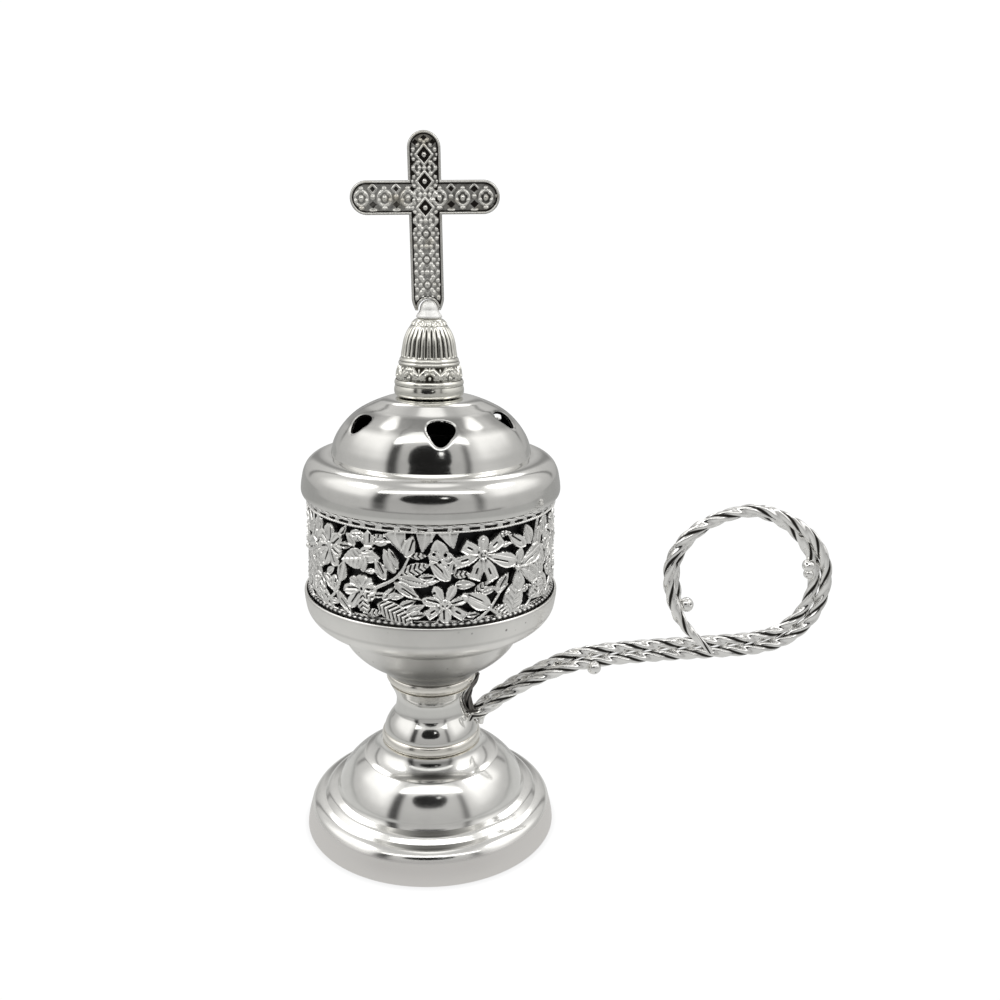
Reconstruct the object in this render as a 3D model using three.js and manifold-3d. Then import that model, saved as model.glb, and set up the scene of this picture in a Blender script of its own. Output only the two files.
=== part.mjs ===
// Footed hand censer: a spun foot and bowl on a waisted stem, a pierced gallery round
// a lift-out charcoal cup, a pierced lift-off lid with a finial and a flat cross,
// and a two-strand looped finger handle.
// Millimetres, +Z up. Origin: centre of the foot's resting plane, on the axis.
// The handle points along +X and the face of the cross looks along -Y.
import * as THREE from 'three';
import { mergeVertices } from 'three/addons/utils/BufferGeometryUtils.js';
import Module from 'manifold-3d';

const wasm = await Module();
wasm.setup();

// ---------------------------------------------------------------- shared dimensions
const SEAT_GAP = 0.3;           // clearance between stacked pieces
const BORE_R = 2.4;             // clearance hole for the tie rod and lid stud
const ROD_R = 2.0;              // M4 rod and stud
const WASHER_R = { standing: 6.2, lid: 6.0 };
const WASHER_T = 1.0;

// Heights of the stacked pieces, from the table up
const FOOT_TOP = 25.3;          // top plate of the foot
const FOOT_PLATE_UNDERSIDE = 24.4;
const LOW_COLLAR_BOTTOM = FOOT_TOP + SEAT_GAP;
const LOW_COLLAR_TOP = 28.6;
const STEM_BOTTOM = LOW_COLLAR_TOP + SEAT_GAP;
const STEM_TOP = 43.2;
const HIGH_COLLAR_BOTTOM = STEM_TOP + SEAT_GAP;
const HIGH_COLLAR_TOP = 46.6;
const BOWL_BOTTOM = HIGH_COLLAR_TOP + SEAT_GAP;
const BOWL_FLOOR = 47.8;
const LID_BOTTOM = 100.45;      // lower edge of the lid's brim
const DOME_TOP = 126.3;         // flat the finial stands on
const FINIAL_TOP = 146.8;

// Segments round the turned pieces
const LARGE_SEGMENTS = 32;
const MEDIUM_SEGMENTS = 24;
const SMALL_SEGMENTS = 16;
const ROD_SEGMENTS = 12;

// ---------------------------------------------------------------- materials
const PLATED = { color: 0xc9c9c6, roughness: 0.14, metalness: 1 };
const SATIN = { color: 0xc4c2c0, roughness: 0.32, metalness: 1 };
const CAST_PLATE = { color: 0xcac8c2, roughness: 0.2, metalness: 1 };
const WARM_PLATE = { color: 0xcfc8bb, roughness: 0.22, metalness: 1 };
const DARK_IRON = { color: 0x2c2d2f, roughness: 0.7, metalness: 0.4 };
const STEEL = { color: 0x9a9a98, roughness: 0.4, metalness: 1 };
const PAD = { color: 0x2a2c2b, roughness: 0.95, metalness: 0 };

// ---------------------------------------------------------------- helpers
function signedVolume(position, index) {
  const a = new THREE.Vector3();
  const b = new THREE.Vector3();
  const c = new THREE.Vector3();
  let volume = 0;
  for (let i = 0; i < index.length; i += 3) {
    a.fromBufferAttribute(position, index[i]);
    b.fromBufferAttribute(position, index[i + 1]);
    c.fromBufferAttribute(position, index[i + 2]);
    volume += a.dot(b.cross(c)) / 6;
  }
  return volume;
}

// Welds a geometry into a closed mesh, without collapsed triangles, facing outwards.
function solid(geometry) {
  const bare = new THREE.BufferGeometry();
  bare.setAttribute('position', geometry.getAttribute('position').clone());
  if (geometry.index) bare.setIndex(geometry.index.clone());
  const merged = mergeVertices(bare, 1e-4);
  const corners = merged.index.array;
  const kept = [];
  for (let i = 0; i < corners.length; i += 3) {
    const [a, b, c] = [corners[i], corners[i + 1], corners[i + 2]];
    if (a !== b && b !== c && a !== c) kept.push(a, b, c);
  }
  if (signedVolume(merged.getAttribute('position'), kept) < 0) {
    for (let i = 0; i < kept.length; i += 3) {
      [kept[i + 1], kept[i + 2]] = [kept[i + 2], kept[i + 1]];
    }
  }
  merged.setIndex(kept);
  return merged;
}

// A turned solid about Z from [radius, z] points.
function turned(profile, segments) {
  const points = profile.map(([radius, z]) => new THREE.Vector2(radius, z));
  const geometry = new THREE.LatheGeometry(points, segments);
  geometry.rotateX(Math.PI / 2);
  return solid(geometry);
}

// A turned ring or shell: its profile closes on itself.
function ring(profile, segments) {
  return turned([...profile, profile[0]], segments);
}

function wireRing(radius, z, wireRadius) {
  const sides = 5;
  const profile = [];
  for (let i = 0; i < sides; i++) {
    const angle = (i / sides) * Math.PI * 2;
    profile.push([radius + wireRadius * Math.cos(angle), z + wireRadius * Math.sin(angle)]);
  }
  return ring(profile, LARGE_SEGMENTS);
}

function polygon(corners) {
  const shape = new THREE.Shape(corners.map(([x, y]) => new THREE.Vector2(x, y)));
  shape.closePath();
  return shape;
}

function regularPolygon(radius, sides, turn = 0) {
  const corners = [];
  for (let i = 0; i < sides; i++) {
    const angle = (i / sides) * Math.PI * 2 + turn;
    corners.push([radius * Math.cos(angle), radius * Math.sin(angle)]);
  }
  return polygon(corners);
}

function prism(shape, depth, curveSegments = 6) {
  return solid(new THREE.ExtrudeGeometry(shape, { depth, bevelEnabled: false, curveSegments }));
}

// A bar with a regular polygon for its section, swept along points.
function sweep(points, { radius, sides, steps }) {
  return solid(new THREE.ExtrudeGeometry(regularPolygon(radius, sides, Math.PI / sides), {
    steps,
    bevelEnabled: false,
    extrudePath: new THREE.CatmullRomCurve3(points, false, 'centripetal'),
  }));
}

// Places a prism made along +Z so that it starts at a radius and height and runs outwards,
// with its own +Y kept upwards. Degrees: azimuth from -Y towards +X, elevation upwards.
function aim(geometry, { azimuth, elevation = 0, radius, z }) {
  const turn = THREE.MathUtils.degToRad(azimuth);
  const rise = THREE.MathUtils.degToRad(elevation);
  const level = new THREE.Vector3(Math.sin(turn), -Math.cos(turn), 0);
  const side = new THREE.Vector3(Math.cos(turn), Math.sin(turn), 0);
  const out = level.clone().multiplyScalar(Math.cos(rise)).setZ(Math.sin(rise));
  const up = new THREE.Vector3().crossVectors(out, side);
  const placement = new THREE.Matrix4().makeBasis(side, up, out);
  placement.setPosition(level.multiplyScalar(radius).setZ(z));
  return geometry.applyMatrix4(placement);
}

function toManifold(geometry) {
  const welded = solid(geometry);
  return new wasm.Manifold(new wasm.Mesh({
    numProp: 3,
    vertProperties: new Float32Array(welded.getAttribute('position').array),
    triVerts: new Uint32Array(welded.index.array),
  }));
}

// Cuts a list of solids out of a shell.
function pierce(shell, cutters) {
  const cuts = cutters.map(toManifold).reduce((joined, cut) => joined.add(cut));
  const mesh = toManifold(shell).subtract(cuts).getMesh();
  const geometry = new THREE.BufferGeometry();
  const positions = new Float32Array(mesh.vertProperties);
  geometry.setAttribute('position', new THREE.BufferAttribute(positions, 3));
  geometry.setIndex(Array.from(mesh.triVerts));
  return geometry;
}

function hexNut(acrossFlats, bottom, top) {
  const shape = regularPolygon(acrossFlats / Math.sqrt(3), 6);
  const hole = new THREE.Path();
  hole.absarc(0, 0, BORE_R, 0, Math.PI * 2, true);
  shape.holes.push(hole);
  const nut = prism(shape, top - bottom);
  nut.translate(0, 0, bottom);
  return nut;
}

function washer(radius, bottom) {
  const top = bottom + WASHER_T;
  return ring(
    [[BORE_R, bottom], [radius, bottom], [radius, top], [BORE_R, top]], SMALL_SEGMENTS);
}

function rod(bottom, top) {
  return turned([[0, bottom], [ROD_R, bottom], [ROD_R, top], [0, top]], ROD_SEGMENTS);
}

function add(parent, name, geometry, look) {
  geometry.computeVertexNormals();
  const mesh = new THREE.Mesh(geometry, new THREE.MeshStandardMaterial(look));
  mesh.name = name;
  parent.add(mesh);
  return mesh;
}

function addGroup(parent, name) {
  const child = new THREE.Group();
  child.name = name;
  parent.add(child);
  return child;
}

const censer = new THREE.Group();
censer.name = 'hand_censer';

// ---------------------------------------------------------------- foot, stem and bowl
// Every turned outline below is a list of [radius, z].
const standing = addGroup(censer, 'standing_part');

const FOOT_PROFILE = [
  // outside, from the table up
  [36.3, 0], [35.0, 6.2], [34.3, 7.4], [32.9, 8.5], [31.1, 9.1],
  [30.1, 10.3], [28.6, 10.9], [26.6, 13.5], [24.9, 15.6], [22.5, 18.4],
  [20.0, 20.7], [17.0, 22.2], [15.1, 23.9], [14.4, FOOT_TOP], [BORE_R, FOOT_TOP],
  // inside, back down to the rim
  [BORE_R, FOOT_PLATE_UNDERSIDE], [13.4, FOOT_PLATE_UNDERSIDE], [15.6, 22.0],
  [19.2, 19.9], [23.6, 15.7], [27.6, 10.2], [32.6, 7.4], [34.0, 5.8], [35.1, 0],
];
add(standing, 'base_foot', ring(FOOT_PROFILE, LARGE_SEGMENTS), SATIN);

// Closing pad in the hollow of the foot, flush with the rim.
const PAD_R = 34.3;
const PAD_T = 1.5;
const PAD_PROFILE = [[0, 0], [PAD_R, 0], [PAD_R, PAD_T], [0, PAD_T]];
add(standing, 'base_pad', turned(PAD_PROFILE, LARGE_SEGMENTS), PAD);

const LOW_COLLAR_PROFILE = [
  [BORE_R, LOW_COLLAR_BOTTOM], [13.5, LOW_COLLAR_BOTTOM], [14.2, 26.2], [14.3, 27.4],
  [13.9, LOW_COLLAR_TOP], [BORE_R, LOW_COLLAR_TOP],
];
add(standing, 'lower_collar', ring(LOW_COLLAR_PROFILE, MEDIUM_SEGMENTS), WARM_PLATE);

const STEM_PROFILE = [
  // outside: convex bulge, crease, waist and flare
  [13.6, STEM_BOTTOM], [13.0, 30.7], [11.9, 32.8], [10.6, 35.2], [10.15, 36.8],
  [10.1, 38.6], [10.6, 40.4], [11.3, 41.9], [12.0, STEM_TOP], [BORE_R, STEM_TOP],
  // inside, open at the bottom
  [BORE_R, 42.1], [10.3, 42.1], [8.9, 38.6], [9.2, 35.6], [11.3, 31.6],
  [12.4, STEM_BOTTOM],
];
add(standing, 'stem', ring(STEM_PROFILE, MEDIUM_SEGMENTS), PLATED);

const HIGH_COLLAR_PROFILE = [
  [BORE_R, HIGH_COLLAR_BOTTOM], [11.6, HIGH_COLLAR_BOTTOM], [11.8, 44.1], [12.6, 44.5],
  [12.8, 45.5], [12.6, HIGH_COLLAR_TOP], [BORE_R, HIGH_COLLAR_TOP],
];
add(standing, 'upper_collar', ring(HIGH_COLLAR_PROFILE, MEDIUM_SEGMENTS), WARM_PLATE);

const BOWL_PROFILE = [
  // outside: flared seat, lower bulge, step, upper bulge, lip
  [12.7, BOWL_BOTTOM], [13.5, 47.6], [15.6, 49.9], [18.2, 51.4], [20.9, 53.5],
  [23.2, 56.0], [26.6, 61.3], [28.6, 62.5], [31.4, 64.1], [33.3, 65.8],
  [34.5, 67.8], [35.0, 70.4], [35.3, 72.4], [35.2, 73.4], [34.7, 73.4],
  // inside
  [34.1, 70.5], [33.6, 68.1], [31.0, 64.95], [28.2, 63.3], [26.0, 62.0],
  [22.5, 56.6], [17.8, 52.3], [15.0, 50.9], [12.2, BOWL_FLOOR], [BORE_R, BOWL_FLOOR],
  [BORE_R, BOWL_BOTTOM],
];
add(standing, 'bowl', ring(BOWL_PROFILE, LARGE_SEGMENTS), SATIN);

// The tie rod clamps the stack between a nut in the foot and a nut in the bowl.
const NUT = { acrossFlats: 8, height: 3.2 };
const footWasherBottom = FOOT_PLATE_UNDERSIDE - SEAT_GAP - WASHER_T;
const footNutTop = footWasherBottom - SEAT_GAP;
const bowlWasherBottom = BOWL_FLOOR + SEAT_GAP;
const bowlNutBottom = bowlWasherBottom + WASHER_T + SEAT_GAP;
const footNut = hexNut(NUT.acrossFlats, footNutTop - NUT.height, footNutTop);
const bowlNut = hexNut(NUT.acrossFlats, bowlNutBottom, bowlNutBottom + NUT.height);
add(standing, 'tie_rod', rod(17.2, 55.2), STEEL);
add(standing, 'foot_washer', washer(WASHER_R.standing, footWasherBottom), STEEL);
add(standing, 'foot_nut', footNut, STEEL);
add(standing, 'bowl_washer', washer(WASHER_R.standing, bowlWasherBottom), STEEL);
add(standing, 'bowl_nut', bowlNut, STEEL);

// ---------------------------------------------------------------- handle
const STRAND_R = 1.5;
const STRAND_SIDES = 6;

// Stations along the pair of strands: x, z, y of the centre line, then the spread of
// the two strands in the plane of the loop and their spread along Y.
const HANDLE = [
  [14.5, 33.9, 0.0, 0.8, 3.2],
  [21.8, 39.3, 0.0, 1.0, 3.1],
  [30.8, 44.6, 0.0, 1.4, 3.0],
  [40.9, 48.7, 0.0, 2.6, 2.1],
  [49.0, 50.3, 0.0, 3.0, 1.4],
  [57.6, 51.2, 0.0, 3.05, 1.25],
  [70.3, 52.1, 0.0, 3.05, 1.25],
  [80.9, 52.7, 0.0, 3.05, 1.25],
  [95.2, 53.9, 0.0, 3.05, 1.25],
  [103.0, 56.4, 0.0, 3.05, 1.25],
  [109.3, 62.2, 0.0, 3.05, 1.25],
  [112.2, 69.9, 0.0, 3.05, 1.25],
  [112.0, 77.7, 0.0, 3.0, 1.3],
  [108.3, 84.7, -0.2, 2.6, 2.0],
  [102.0, 90.4, -0.5, 1.7, 2.8],
  [91.5, 94.4, -1.0, 1.3, 3.0],
  [80.5, 92.3, -1.6, 1.5, 2.9],
  [73.0, 87.6, -2.2, 1.9, 2.7],
  [68.5, 81.0, -2.9, 2.1, 2.5],
  [67.9, 74.8, -3.4, 2.0, 2.6],
  [70.2, 66.2, -4.0, 1.6, 2.9],
  [73.0, 61.6, -4.5, 1.2, 3.1],
  [77.0, 57.4, -4.8, 0.8, 3.2],
  [80.3, 54.1, -4.9, 0.6, 3.2],
];

// side: -1 for the strand towards -Y and outside the loop, 1 for the other.
function strandPoints(side, stationCount) {
  return HANDLE.slice(0, stationCount).map(([x, z, y, planeSpread, ySpread], i) => {
    const before = HANDLE[Math.max(0, i - 1)];
    const after = HANDLE[Math.min(HANDLE.length - 1, i + 1)];
    const along = new THREE.Vector2(after[0] - before[0], after[1] - before[1]).normalize();
    const inward = { x: -along.y, z: along.x }; // towards the inside of the loop
    return new THREE.Vector3(
      x + side * inward.x * planeSpread / 2,
      y + side * ySpread / 2,
      z + side * inward.z * planeSpread / 2);
  });
}

// The back strand stops three stations short of the front one.
for (const [name, side, stationCount, steps] of [
  ['handle_strand_front', -1, HANDLE.length, 50],
  ['handle_strand_back', 1, HANDLE.length - 3, 46],
]) {
  const section = { radius: STRAND_R, sides: STRAND_SIDES, steps };
  add(standing, name, sweep(strandPoints(side, stationCount), section), CAST_PLATE);
}

// Strap down the +X side of the stem, from the upper collar to the lower bulge: [x, z].
const STRAP_PATH = [
  [13.75, 45.6], [13.15, 43.7], [12.1, 41.6], [11.45, 39.2], [11.4, 37.2], [12.0, 35.1],
  [13.0, 33.0], [14.2, 31.0], [15.0, 29.4],
];
const strapPoints = STRAP_PATH.map(([x, z]) => new THREE.Vector3(x, 0, z));
const strap = sweep(strapPoints, { radius: 0.75, sides: 4, steps: 12 });
add(standing, 'handle_strap', strap, CAST_PLATE);

// Small balls on the handle: x, y, z, radius.
const BERRIES = [
  [46.4, -3.55, 47.0, 1.6],
  [74.6, -3.1, 67.6, 1.7],
  [106.2, 0.7, 79.8, 1.55],
  [106.5, 0.7, 76.3, 1.5],
];
BERRIES.forEach(([x, y, z, radius], i) => {
  const berry = new THREE.SphereGeometry(radius, 8, 6);
  berry.rotateX(Math.PI / 2);
  berry.translate(x, y, z);
  add(standing, `handle_berry_${i + 1}`, solid(berry), CAST_PLATE);
});

// ---------------------------------------------------------------- gallery
const gallery = addGroup(censer, 'gallery');
const GALLERY_R = 33.7;         // outside of the pierced band
const GALLERY_NECK_R = 32.9;    // outside of the band's plain edges
const GALLERY_EDGE_BORE_R = 32.2;
const GALLERY_BOTTOM = 70.2;
const GALLERY_TOP = 102.6;

const BAND_PROFILE = [
  // outside, upwards
  [GALLERY_NECK_R, GALLERY_BOTTOM], [GALLERY_NECK_R, 74.9], [GALLERY_R, 75.3],
  [GALLERY_R, 98.2], [GALLERY_NECK_R, 98.5], [GALLERY_NECK_R, GALLERY_TOP],
  // inside, downwards
  [GALLERY_EDGE_BORE_R, GALLERY_TOP], [GALLERY_EDGE_BORE_R, 98.7], [32.7, 98.1],
  [32.7, 75.4], [GALLERY_EDGE_BORE_R, 74.9], [GALLERY_EDGE_BORE_R, GALLERY_BOTTOM],
];

// Six-sided windows in two rows, the upper row shifted by half a pitch.
const WINDOW_COLUMNS = 12;
const WINDOW_ROWS = [{ z: 81.3, shift: 0 }, { z: 92.3, shift: 0.5 }];
const FIRST_WINDOW_AZIMUTH = 12;
const WINDOW_CUT = { radius: 29, depth: 8 }; // where the cutter starts, and its length

function windowShape() {
  const halfW = 5.6;
  const halfH = 4.1;
  return polygon([
    [0, -halfH], [halfW, -halfH * 0.35], [halfW * 0.8, halfH * 0.6],
    [0, halfH], [-halfW * 0.8, halfH * 0.6], [-halfW, -halfH * 0.35],
  ]);
}

const windows = [];
for (let i = 0; i < WINDOW_COLUMNS; i++) {
  for (const { z, shift } of WINDOW_ROWS) {
    const azimuth = ((i + shift) / WINDOW_COLUMNS) * 360 + FIRST_WINDOW_AZIMUTH;
    const cutter = prism(windowShape(), WINDOW_CUT.depth);
    windows.push(aim(cutter, { azimuth, radius: WINDOW_CUT.radius, z }));
  }
}
add(gallery, 'gallery_band', pierce(ring(BAND_PROFILE, LARGE_SEGMENTS), windows), CAST_PLATE);
add(gallery, 'gallery_top_wire', wireRing(33.8, 99.4, 0.7), CAST_PLATE);
add(gallery, 'gallery_bottom_wire', wireRing(33.65, 74.35, 0.42), CAST_PLATE);

// ---------------------------------------------------------------- charcoal cup
const CUP_PROFILE = [
  // outside, up to the rim
  [0, 62.8], [26.6, 62.8], [29.4, 64.9], [30.8, 67.2], [31.2, 70.0], [31.2, 98.6],
  [31.7, 98.6], [31.7, 99.6],
  // inside, down to the floor
  [30.4, 99.6], [30.4, 70.2], [29.2, 66.6], [26.2, 64.0], [0, 64.0],
];
add(censer, 'charcoal_cup', turned(CUP_PROFILE, LARGE_SEGMENTS), DARK_IRON);

// ---------------------------------------------------------------- lid
const lid = addGroup(censer, 'lid');
const LID_BORE_R = 3.0;         // hole in the dome, with play for centring the finial

const LID_PROFILE = [
  // outside: brim, shoulder, valley, dome
  [34.9, LID_BOTTOM], [35.4, 101.9], [35.05, 104.6], [34.5, 106.9], [33.6, 108.6],
  [32.3, 109.8], [30.6, 110.6], [27.1, 110.9], [26.4, 114.0], [25.2, 116.1],
  [22.2, 120.0], [20.2, 121.8], [17.8, 123.3], [14.6, 124.9],
  [11.4, 126.1], [9.0, DOME_TOP], [LID_BORE_R, DOME_TOP],
  // inside
  [LID_BORE_R, 125.7], [9.4, 125.7], [14.3, 124.1], [19.7, 121.3], [25.6, 113.8],
  [26.2, 110.2], [30.3, 109.9], [32.9, 108.2], [34.3, 104.4], [34.1, LID_BOTTOM],
];

// Smoke holes round the dome
const SMOKE_AZIMUTHS = [-58, 6, 67, 126, 185, 243.5]; // degrees from -Y towards +X
const SMOKE_CUT = { elevation: 47, radius: 17.6, z: 115.2 };
const SMOKE_CUT_DEPTH = 12;

// Rounded triangle, point down the slope.
function smokeHoleShape() {
  const w = 8.2 / 2;
  const h = 8.8 / 2;
  const shape = new THREE.Shape();
  shape.moveTo(0, -h);
  shape.quadraticCurveTo(w * 0.35, -h, w * 0.62, -h * 0.35);
  shape.quadraticCurveTo(w * 1.15, h * 0.35, w * 0.85, h * 0.72);
  shape.quadraticCurveTo(w * 0.6, h, 0, h);
  shape.quadraticCurveTo(-w * 0.6, h, -w * 0.85, h * 0.72);
  shape.quadraticCurveTo(-w * 1.15, h * 0.35, -w * 0.62, -h * 0.35);
  shape.quadraticCurveTo(-w * 0.35, -h, 0, -h);
  return shape;
}

const smokeHoles = SMOKE_AZIMUTHS.map((azimuth) => (
  aim(prism(smokeHoleShape(), SMOKE_CUT_DEPTH, 2), { azimuth, ...SMOKE_CUT })));
add(lid, 'lid_shell', pierce(ring(LID_PROFILE, LARGE_SEGMENTS), smokeHoles), PLATED);

// ---------------------------------------------------------------- finial and its fixings
const crown = addGroup(lid, 'crown');
crown.position.x = -0.7;        // the finial's seat in its clearance hole

const LID_NUT = { acrossFlats: 7, height: 3.1 };
const lidWasherBottom = 124.2;
// The lid washer is slightly thicker than the others.
const lidNutTop = lidWasherBottom - SEAT_GAP;
const LID_WASHER_TOP = 125.3;
const lidWasher = ring([
  [BORE_R, lidWasherBottom], [WASHER_R.lid, lidWasherBottom],
  [WASHER_R.lid, LID_WASHER_TOP], [BORE_R, LID_WASHER_TOP],
], SMALL_SEGMENTS);
const lidNut = hexNut(LID_NUT.acrossFlats, lidNutTop - LID_NUT.height, lidNutTop);
add(crown, 'lid_washer', lidWasher, STEEL);
add(crown, 'lid_nut', lidNut, STEEL);
add(crown, 'lid_stud', rod(119.2, 146.2), STEEL);

const FINIAL_PROFILE = [
  [BORE_R, DOME_TOP + SEAT_GAP], [8.9, DOME_TOP + SEAT_GAP], [9.4, 127.6], [9.3, 129.0],
  [9.15, 129.6], [9.35, 130.3], [9.0, 131.2], [8.9, 132.8], [8.35, 135.1], [8.25, 136.2],
  [7.75, 136.9], [7.5, 138.4], [7.2, 140.8], [6.5, 143.2], [5.4, 145.2], [3.9, 146.6],
  [BORE_R, FINIAL_TOP],
];
add(crown, 'finial', ring(FINIAL_PROFILE, MEDIUM_SEGMENTS), CAST_PLATE);

// ---------------------------------------------------------------- cross
const BALL_Z = 149;             // widest part of the ball on the collar
const CROSS_COLLAR_PROFILE = [
  [0, FINIAL_TOP + SEAT_GAP], [3.3, FINIAL_TOP + SEAT_GAP], [3.5, 147.5], [3.2, 148.0],
  [1.9, 148.1], [2.1, BALL_Z], [1.8, 150.1], [1.0, 150.7], [0, 150.9],
];
add(crown, 'cross_collar', turned(CROSS_COLLAR_PROFILE, SMALL_SEGMENTS), CAST_PLATE);

const CROSS_SPAN = 38.2;        // arm tip to arm tip
const CROSS_W = 8.4;            // width of each beam
const CROSS_T = 1.6;            // plate thickness
const CROSS_ARM_Z = 177.4;      // centre line of the arms
const CROSS_TOP = 193.6;
const CROSS_FOOT = 149.0;       // lower tips of the cross, beside the collar's ball
const CROSS_FOOT_TAPER = 3.2;   // height over which the foot widens to the full beam
const CROSS_ARCH = { z: 149.3, radius: 2.6 };
const CROSS_LEAN = 1.6;         // degrees towards -X, as assembled
const CROSS_X = -0.25;          // the cross's pivot, from the crown's axis

// Rounded ends, and a small arch in the foot that straddles the collar's ball.
// Drawn about the crossing of the beams.
function crossShape() {
  const half = CROSS_W / 2;
  const armCentre = CROSS_SPAN / 2 - half;
  const topCentre = CROSS_TOP - half - CROSS_ARM_Z;
  const footY = CROSS_FOOT - CROSS_ARM_Z;
  const taperY = footY + CROSS_FOOT_TAPER;
  const shape = new THREE.Shape();
  shape.moveTo(-3.3, footY);
  shape.lineTo(-2.75, footY);
  shape.absarc(0, CROSS_ARCH.z - CROSS_ARM_Z, CROSS_ARCH.radius, Math.PI, 0, true);
  shape.lineTo(3.3, footY);
  shape.lineTo(half, taperY);
  shape.lineTo(half, -half);
  shape.absarc(armCentre, 0, half, -Math.PI / 2, Math.PI / 2, false);
  shape.lineTo(half, half);
  shape.absarc(0, topCentre, half, 0, Math.PI, false);
  shape.lineTo(-half, half);
  shape.absarc(-armCentre, 0, half, Math.PI / 2, Math.PI * 1.5, false);
  shape.lineTo(-half, -half);
  shape.lineTo(-half, taperY);
  shape.closePath();
  return shape;
}

const crossPlate = prism(crossShape(), CROSS_T, 8);
crossPlate.translate(0, 0, -CROSS_T / 2);
crossPlate.rotateX(Math.PI / 2);
const cross = add(crown, 'cross', crossPlate, CAST_PLATE);

// The cross leans about the ball of the collar.
const lean = THREE.MathUtils.degToRad(CROSS_LEAN);
const pivotToArms = CROSS_ARM_Z - BALL_Z;
cross.rotation.y = -lean;
cross.position.set(
  CROSS_X - pivotToArms * Math.sin(lean), 0, BALL_Z + pivotToArms * Math.cos(lean));

export default censer;
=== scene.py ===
# Footed hand censer with a pierced floral gallery, domed lid, finial cross
# and a two-strand looped handle. It stands on z = 0 about the Z axis, its front
# towards -Y and its handle towards +X. Pieces are laid out in millimetres;
# shaders, world, table and camera use metres.
import bmesh
import bpy
import math
import numpy as np
from mathutils import Matrix, Vector


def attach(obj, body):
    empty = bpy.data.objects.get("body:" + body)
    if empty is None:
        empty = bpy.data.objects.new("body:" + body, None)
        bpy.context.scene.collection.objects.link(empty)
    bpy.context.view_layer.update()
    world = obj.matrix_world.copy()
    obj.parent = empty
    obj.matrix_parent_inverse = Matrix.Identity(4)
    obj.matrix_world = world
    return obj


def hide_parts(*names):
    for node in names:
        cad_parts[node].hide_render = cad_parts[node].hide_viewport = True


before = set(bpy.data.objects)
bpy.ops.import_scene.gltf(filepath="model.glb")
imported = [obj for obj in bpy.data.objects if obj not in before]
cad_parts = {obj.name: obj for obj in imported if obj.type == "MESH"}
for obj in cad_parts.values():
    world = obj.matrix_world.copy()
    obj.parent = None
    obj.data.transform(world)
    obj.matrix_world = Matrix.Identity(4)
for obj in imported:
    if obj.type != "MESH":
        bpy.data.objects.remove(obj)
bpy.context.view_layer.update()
scene = bpy.context.scene
MM = 0.001

BORE = 2.4                # radius of the bore for the rod through the turned parts
FINE_SEGMENTS = 320       # round the foot and the bowl
MID_SEGMENTS = 256        # round the cup and the gallery necks
STEM_SEGMENTS = 240       # round the stem, its collars and the pad


# ------------------------------------------------------------------ node graphs
class Signal:
    """A node output usable in arithmetic; each operation adds a Math node."""

    def __init__(self, graph, socket):
        self.graph = graph
        self.socket = socket

    def __add__(self, other): return self.graph.math("ADD", self, other)
    def __radd__(self, other): return self.graph.math("ADD", other, self)
    def __sub__(self, other): return self.graph.math("SUBTRACT", self, other)
    def __rsub__(self, other): return self.graph.math("SUBTRACT", other, self)
    def __mul__(self, other): return self.graph.math("MULTIPLY", self, other)
    def __truediv__(self, other): return self.graph.math("DIVIDE", self, other)
    def __pow__(self, other): return self.graph.math("POWER", self, other)
    def __abs__(self): return self.graph.math("ABSOLUTE", self)

    def ease(self, start, end, first=0.0, last=1.0, kind="SMOOTHSTEP"):
        """Go from first to last while the signal goes from start to end."""
        graph = self.graph
        node = graph.new("ShaderNodeMapRange", interpolation_type=kind)
        graph.fill(node.inputs, {"Value": self, "From Min": start, "From Max": end,
                                 "To Min": first, "To Max": last})
        return graph.output(node, "Result")

    def fade(self, start, end):
        """Smoothly from 1 down to 0."""
        return self.ease(start, end, first=1.0, last=0.0)

    def linear(self, start, end):
        return self.ease(start, end, kind="LINEAR")

    def window(self, low, high, soft):
        """1 between low and high, with soft edges."""
        return self.ease(low - soft, low + soft) * self.fade(high - soft, high + soft)


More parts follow.
